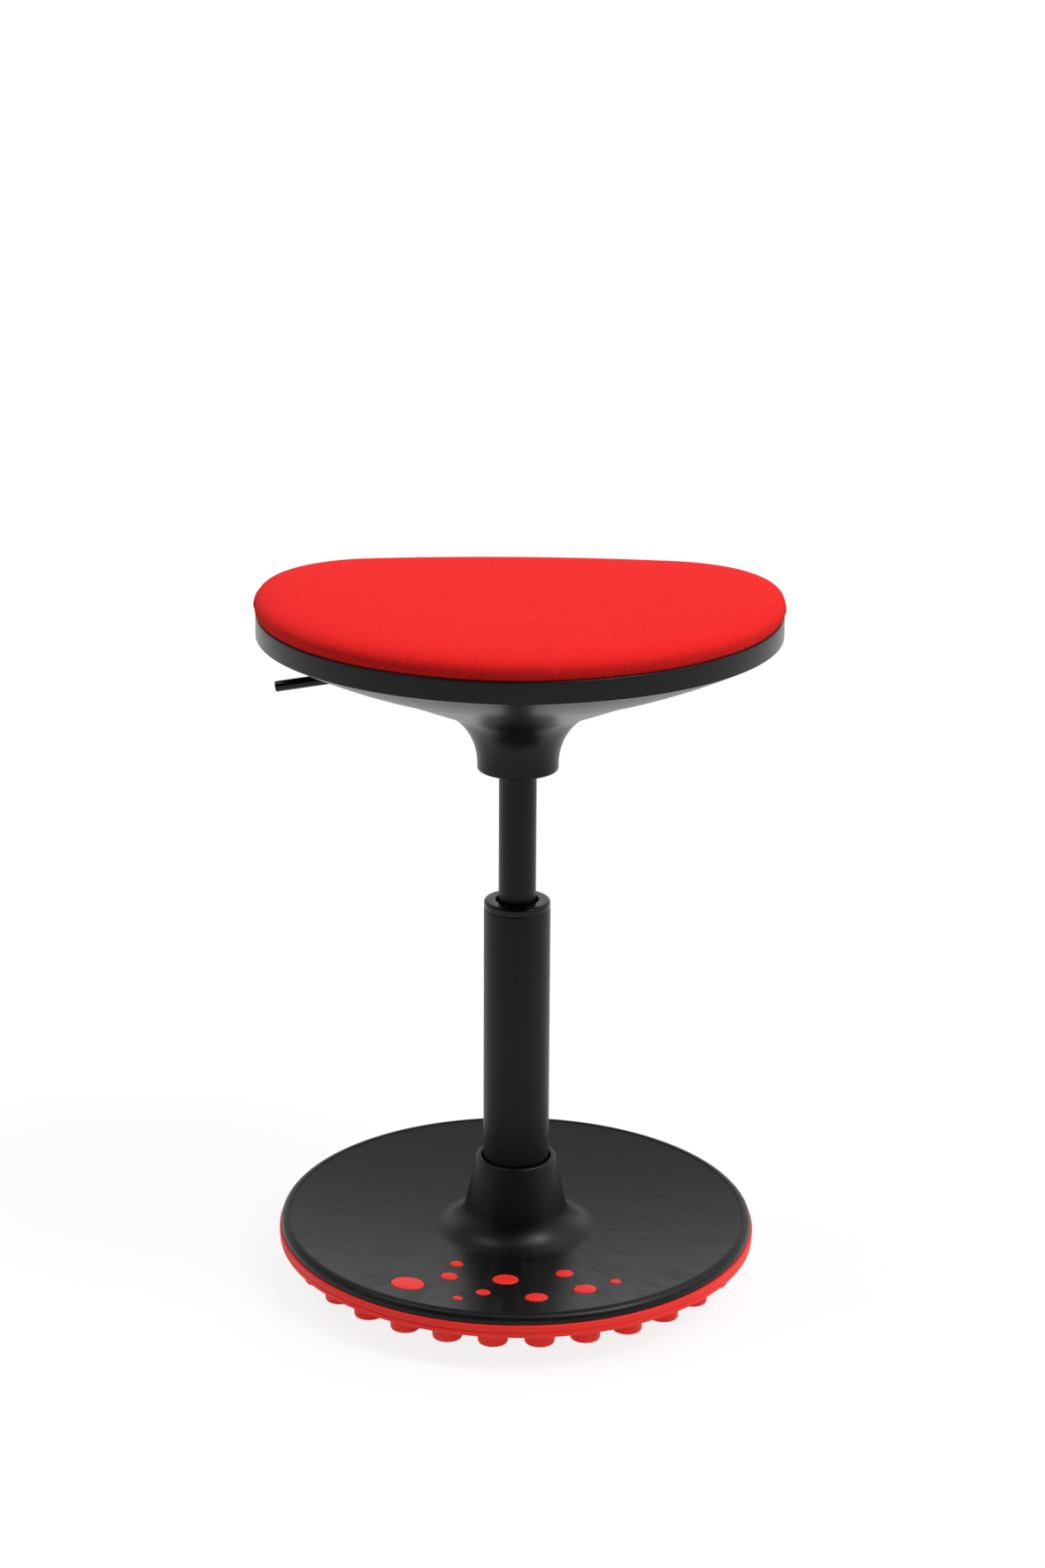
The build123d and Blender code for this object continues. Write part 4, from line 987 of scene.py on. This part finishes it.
class STOOL_OT_pad(bpy.types.Operator):
    """Upholstered pad: cut to its form, filled by a cloth simulation and covered in a red weave"""

    bl_idname = "stool.pad"
    bl_label = "Seat pad"

    def execute(self, context):
        pad = context.scene.stool_pad
        piece = self.cut_form(context, pad)
        self.fill(context, piece, pad)
        self.lay_cloth(piece.data)
        mesh = piece.data
        bpy.data.objects.remove(piece)
        finish = fabric_finish(context.scene.stool_finishes.fabric, pad.weave)
        cushion = put_mesh("cushion", mesh, finish, "seat", "red_fabric", "seat_cover", "seat_foam")
        return {"FINISHED"}

    def cut_form(self, context, pad):
        """The pad's form before it is filled: a tucked foot, a full side and a low crown."""
        seat = context.scene.stool_seat
        base = COVER_HIGH.z - pad.crown
        rings = [(1, PAD_FORM[0][1], base - pad.seat_in)]
        rings += [(1, grow + pad.spare, base + high * pad.crown) for high, grow in PAD_FORM]
        bm = bmesh.new()
        first, last = seat_rings(bm, seat, rings, False)
        bmesh.ops.holes_fill(bm, edges=first + last)
        for v in bm.verts:
            v.co.z -= pad.lean * v.co.x * max(0, v.co.z - base) / pad.crown
        return added("pad", closed_mesh("pad", bm))

    def fill(self, context, piece, pad):
        """Remeshes the pad, blows it up as cloth and keeps each point near where it was cut."""
        foot = COVER_HIGH.z - pad.crown
        step = piece.modifiers.new("cells", "REMESH")
        step.mode = "VOXEL"
        step.voxel_size = pad.voxel
        self.apply(context, piece)
        held = piece.vertex_groups.new(name="held")
        start = [v.co.copy() for v in piece.data.vertices]
        held.add(range(len(start)), pad.support, "REPLACE")
        held.add([k for k, co in enumerate(start) if co.z < foot + pad.voxel / 2], 1.0, "REPLACE")
        cloth = piece.modifiers.new("filling", "CLOTH")
        cloth.settings.use_pressure = True
        cloth.settings.uniform_pressure_force = pad.pressure
        cloth.settings.shrink_min = pad.tight
        cloth.settings.tension_stiffness = pad.stiffness
        cloth.settings.compression_stiffness = pad.stiffness
        cloth.settings.shear_stiffness = pad.stiffness / 2
        cloth.settings.bending_stiffness = pad.stiffness / 4
        cloth.settings.effector_weights.gravity = 0
        cloth.settings.vertex_group_mass = "held"
        cloth.point_cache.frame_end = pad.frames
        for k in range(1, pad.frames + 1):
            context.scene.frame_set(k)
        self.apply(context, piece)
        self.even_out(piece.data, start, pad)
        context.scene.frame_set(1)
        self.ease(piece.data, foot + pad.voxel / 2, pad.ease)
        finer = piece.modifiers.new("finer", "SUBSURF")
        finer.levels = finer.render_levels = 1
        self.apply(context, piece)

    def even_out(self, mesh, start, pad):
        """Limits how far each point has moved and shares it with neighbours, so that no crease stays."""
        moves = [v.co - co for v, co in zip(mesh.vertices, start)]
        moves = [move * min(1, pad.cap / max(move.length, MERGE)) for move in moves]
        beside = [[k] for k in range(len(moves))]
        for edge in mesh.edges:
            one, other = edge.vertices
            beside[one].append(other)
            beside[other].append(one)
        for _ in range(pad.sharing):
            moves = [sum((moves[k] for k in group), Vector()) / len(group) for group in beside]
        for v, co, move in zip(mesh.vertices, start, moves):
            v.co = co + move

    def ease(self, mesh, foot, passes):
        """Evens out the cover above the pad's foot."""
        bm = bmesh.new()
        bm.from_mesh(mesh)
        free = [v for v in bm.verts if v.co.z > foot]
        for _ in range(passes):
            bmesh.ops.smooth_vert(bm, verts=free, factor=0.5, use_axis_x=True, use_axis_y=True,
                                  use_axis_z=True)
        bm.to_mesh(mesh)
        bm.free()

    def apply(self, context, piece):
        """Turns the pad as its modifiers show it into its mesh."""
        shown = piece.evaluated_get(context.evaluated_depsgraph_get())
        piece.data = bpy.data.meshes.new_from_object(shown)
        piece.modifiers.clear()

    def lay_cloth(self, mesh):
        """Stores where each point lies on the flat cloth, so that the sides don't stretch the weave."""
        flat = mesh.attributes.new("cloth_place", "FLOAT_VECTOR", "POINT")
        for v, item in zip(mesh.vertices, flat.data):
            out = max(hypot(v.co.x, v.co.y), MERGE)
            reach = (out + COVER_HIGH.z - v.co.z) / out
            item.vector = (v.co.x * reach, v.co.y * reach, 0)


class STOOL_OT_inner_parts(bpy.types.Operator):
    """Finishes of the CAD pieces inside the column and the seat"""

    bl_idname = "stool.inner_parts"
    bl_label = "Inner parts"

    def execute(self, context):
        tones = context.scene.stool_finishes
        groups = (
            (steel_finish("drawn_steel", tones.steel),
             ("hub_socket", "bearing_lower_race", "bearing_upper_race", "base_washer", "retaining_clip",
              "taper_socket")),
            (steel_finish("ground_steel", tones.steel, 0.16),
             ("bearing_balls", "piston_rod", "release_pin", "pivot_pin")),
            (steel_finish("zinc_plate", tones.zinc, 0.38),
             ("plate_screws", "tee_nuts", "board_screws", "rod_gland", "piston")),
            (paint_finish(tones.paint), ("seat_plate", "lever_bracket")),
            (steel_finish("brass", tones.brass, 0.25), ("valve_body",)),
            (grained("black_rubber", tones.dark_rubber, 0.6, 0.06, 0.0008, 0.00005)[0],
             ("rubber_buffer", "piston_seal")),
            (plywood_finish(tones.plywood), ("seat_board",)),
        )
        for finish, names in groups:
            for name in names:
                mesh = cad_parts[name].data
                mesh.materials.clear()
                mesh.materials.append(finish)
        return {"FINISHED"}


class STOOL_PT_panel(bpy.types.Panel):
    """Lists the stool's pieces and its sizes"""

    bl_idname = "STOOL_PT_panel"
    bl_label = "Rocking stool"
    bl_space_type = "VIEW_3D"
    bl_region_type = "UI"
    bl_category = "Stool"

    def draw(self, context):
        for operator in OPERATORS:
            self.layout.operator(operator.bl_idname)
        for name in GROUPS:
            box = self.layout.box()
            settings = getattr(context.scene, name)
            box.label(text=settings.bl_rna.description)
            for key in settings.__annotations__:
                box.prop(settings, key)


GROUPS = {
    "stool_sole": SoleSizes, "stool_dish": DishSizes, "stool_column": ColumnSizes, "stool_seat": SeatSizes,
    "stool_pad": PadSizes, "stool_finishes": Finishes, "stool_studio": Studio,
}
OPERATORS = (STOOL_OT_stage, STOOL_OT_sole, STOOL_OT_dish, STOOL_OT_column, STOOL_OT_shell, STOOL_OT_lever,
             STOOL_OT_pad, STOOL_OT_inner_parts)


def register():
    """Adds the settings, operators and panel."""
    for kind in (*GROUPS.values(), *OPERATORS, STOOL_PT_panel):
        bpy.utils.register_class(kind)
    for name, kind in GROUPS.items():
        setattr(bpy.types.Scene, name, PointerProperty(type=kind))


def unregister():
    """Takes them away again."""
    for name in GROUPS:
        delattr(bpy.types.Scene, name)
    for kind in (STOOL_PT_panel, *OPERATORS[::-1], *GROUPS.values()):
        bpy.utils.unregister_class(kind)


def main():
    """Builds the whole stool."""
    register()
    bpy.ops.stool.stage()
    bpy.ops.stool.sole()
    bpy.ops.stool.dish()
    bpy.ops.stool.column()
    bpy.ops.stool.shell()
    bpy.ops.stool.lever()
    bpy.ops.stool.pad()
    bpy.ops.stool.inner_parts()


if __name__ == "__main__":
    main()
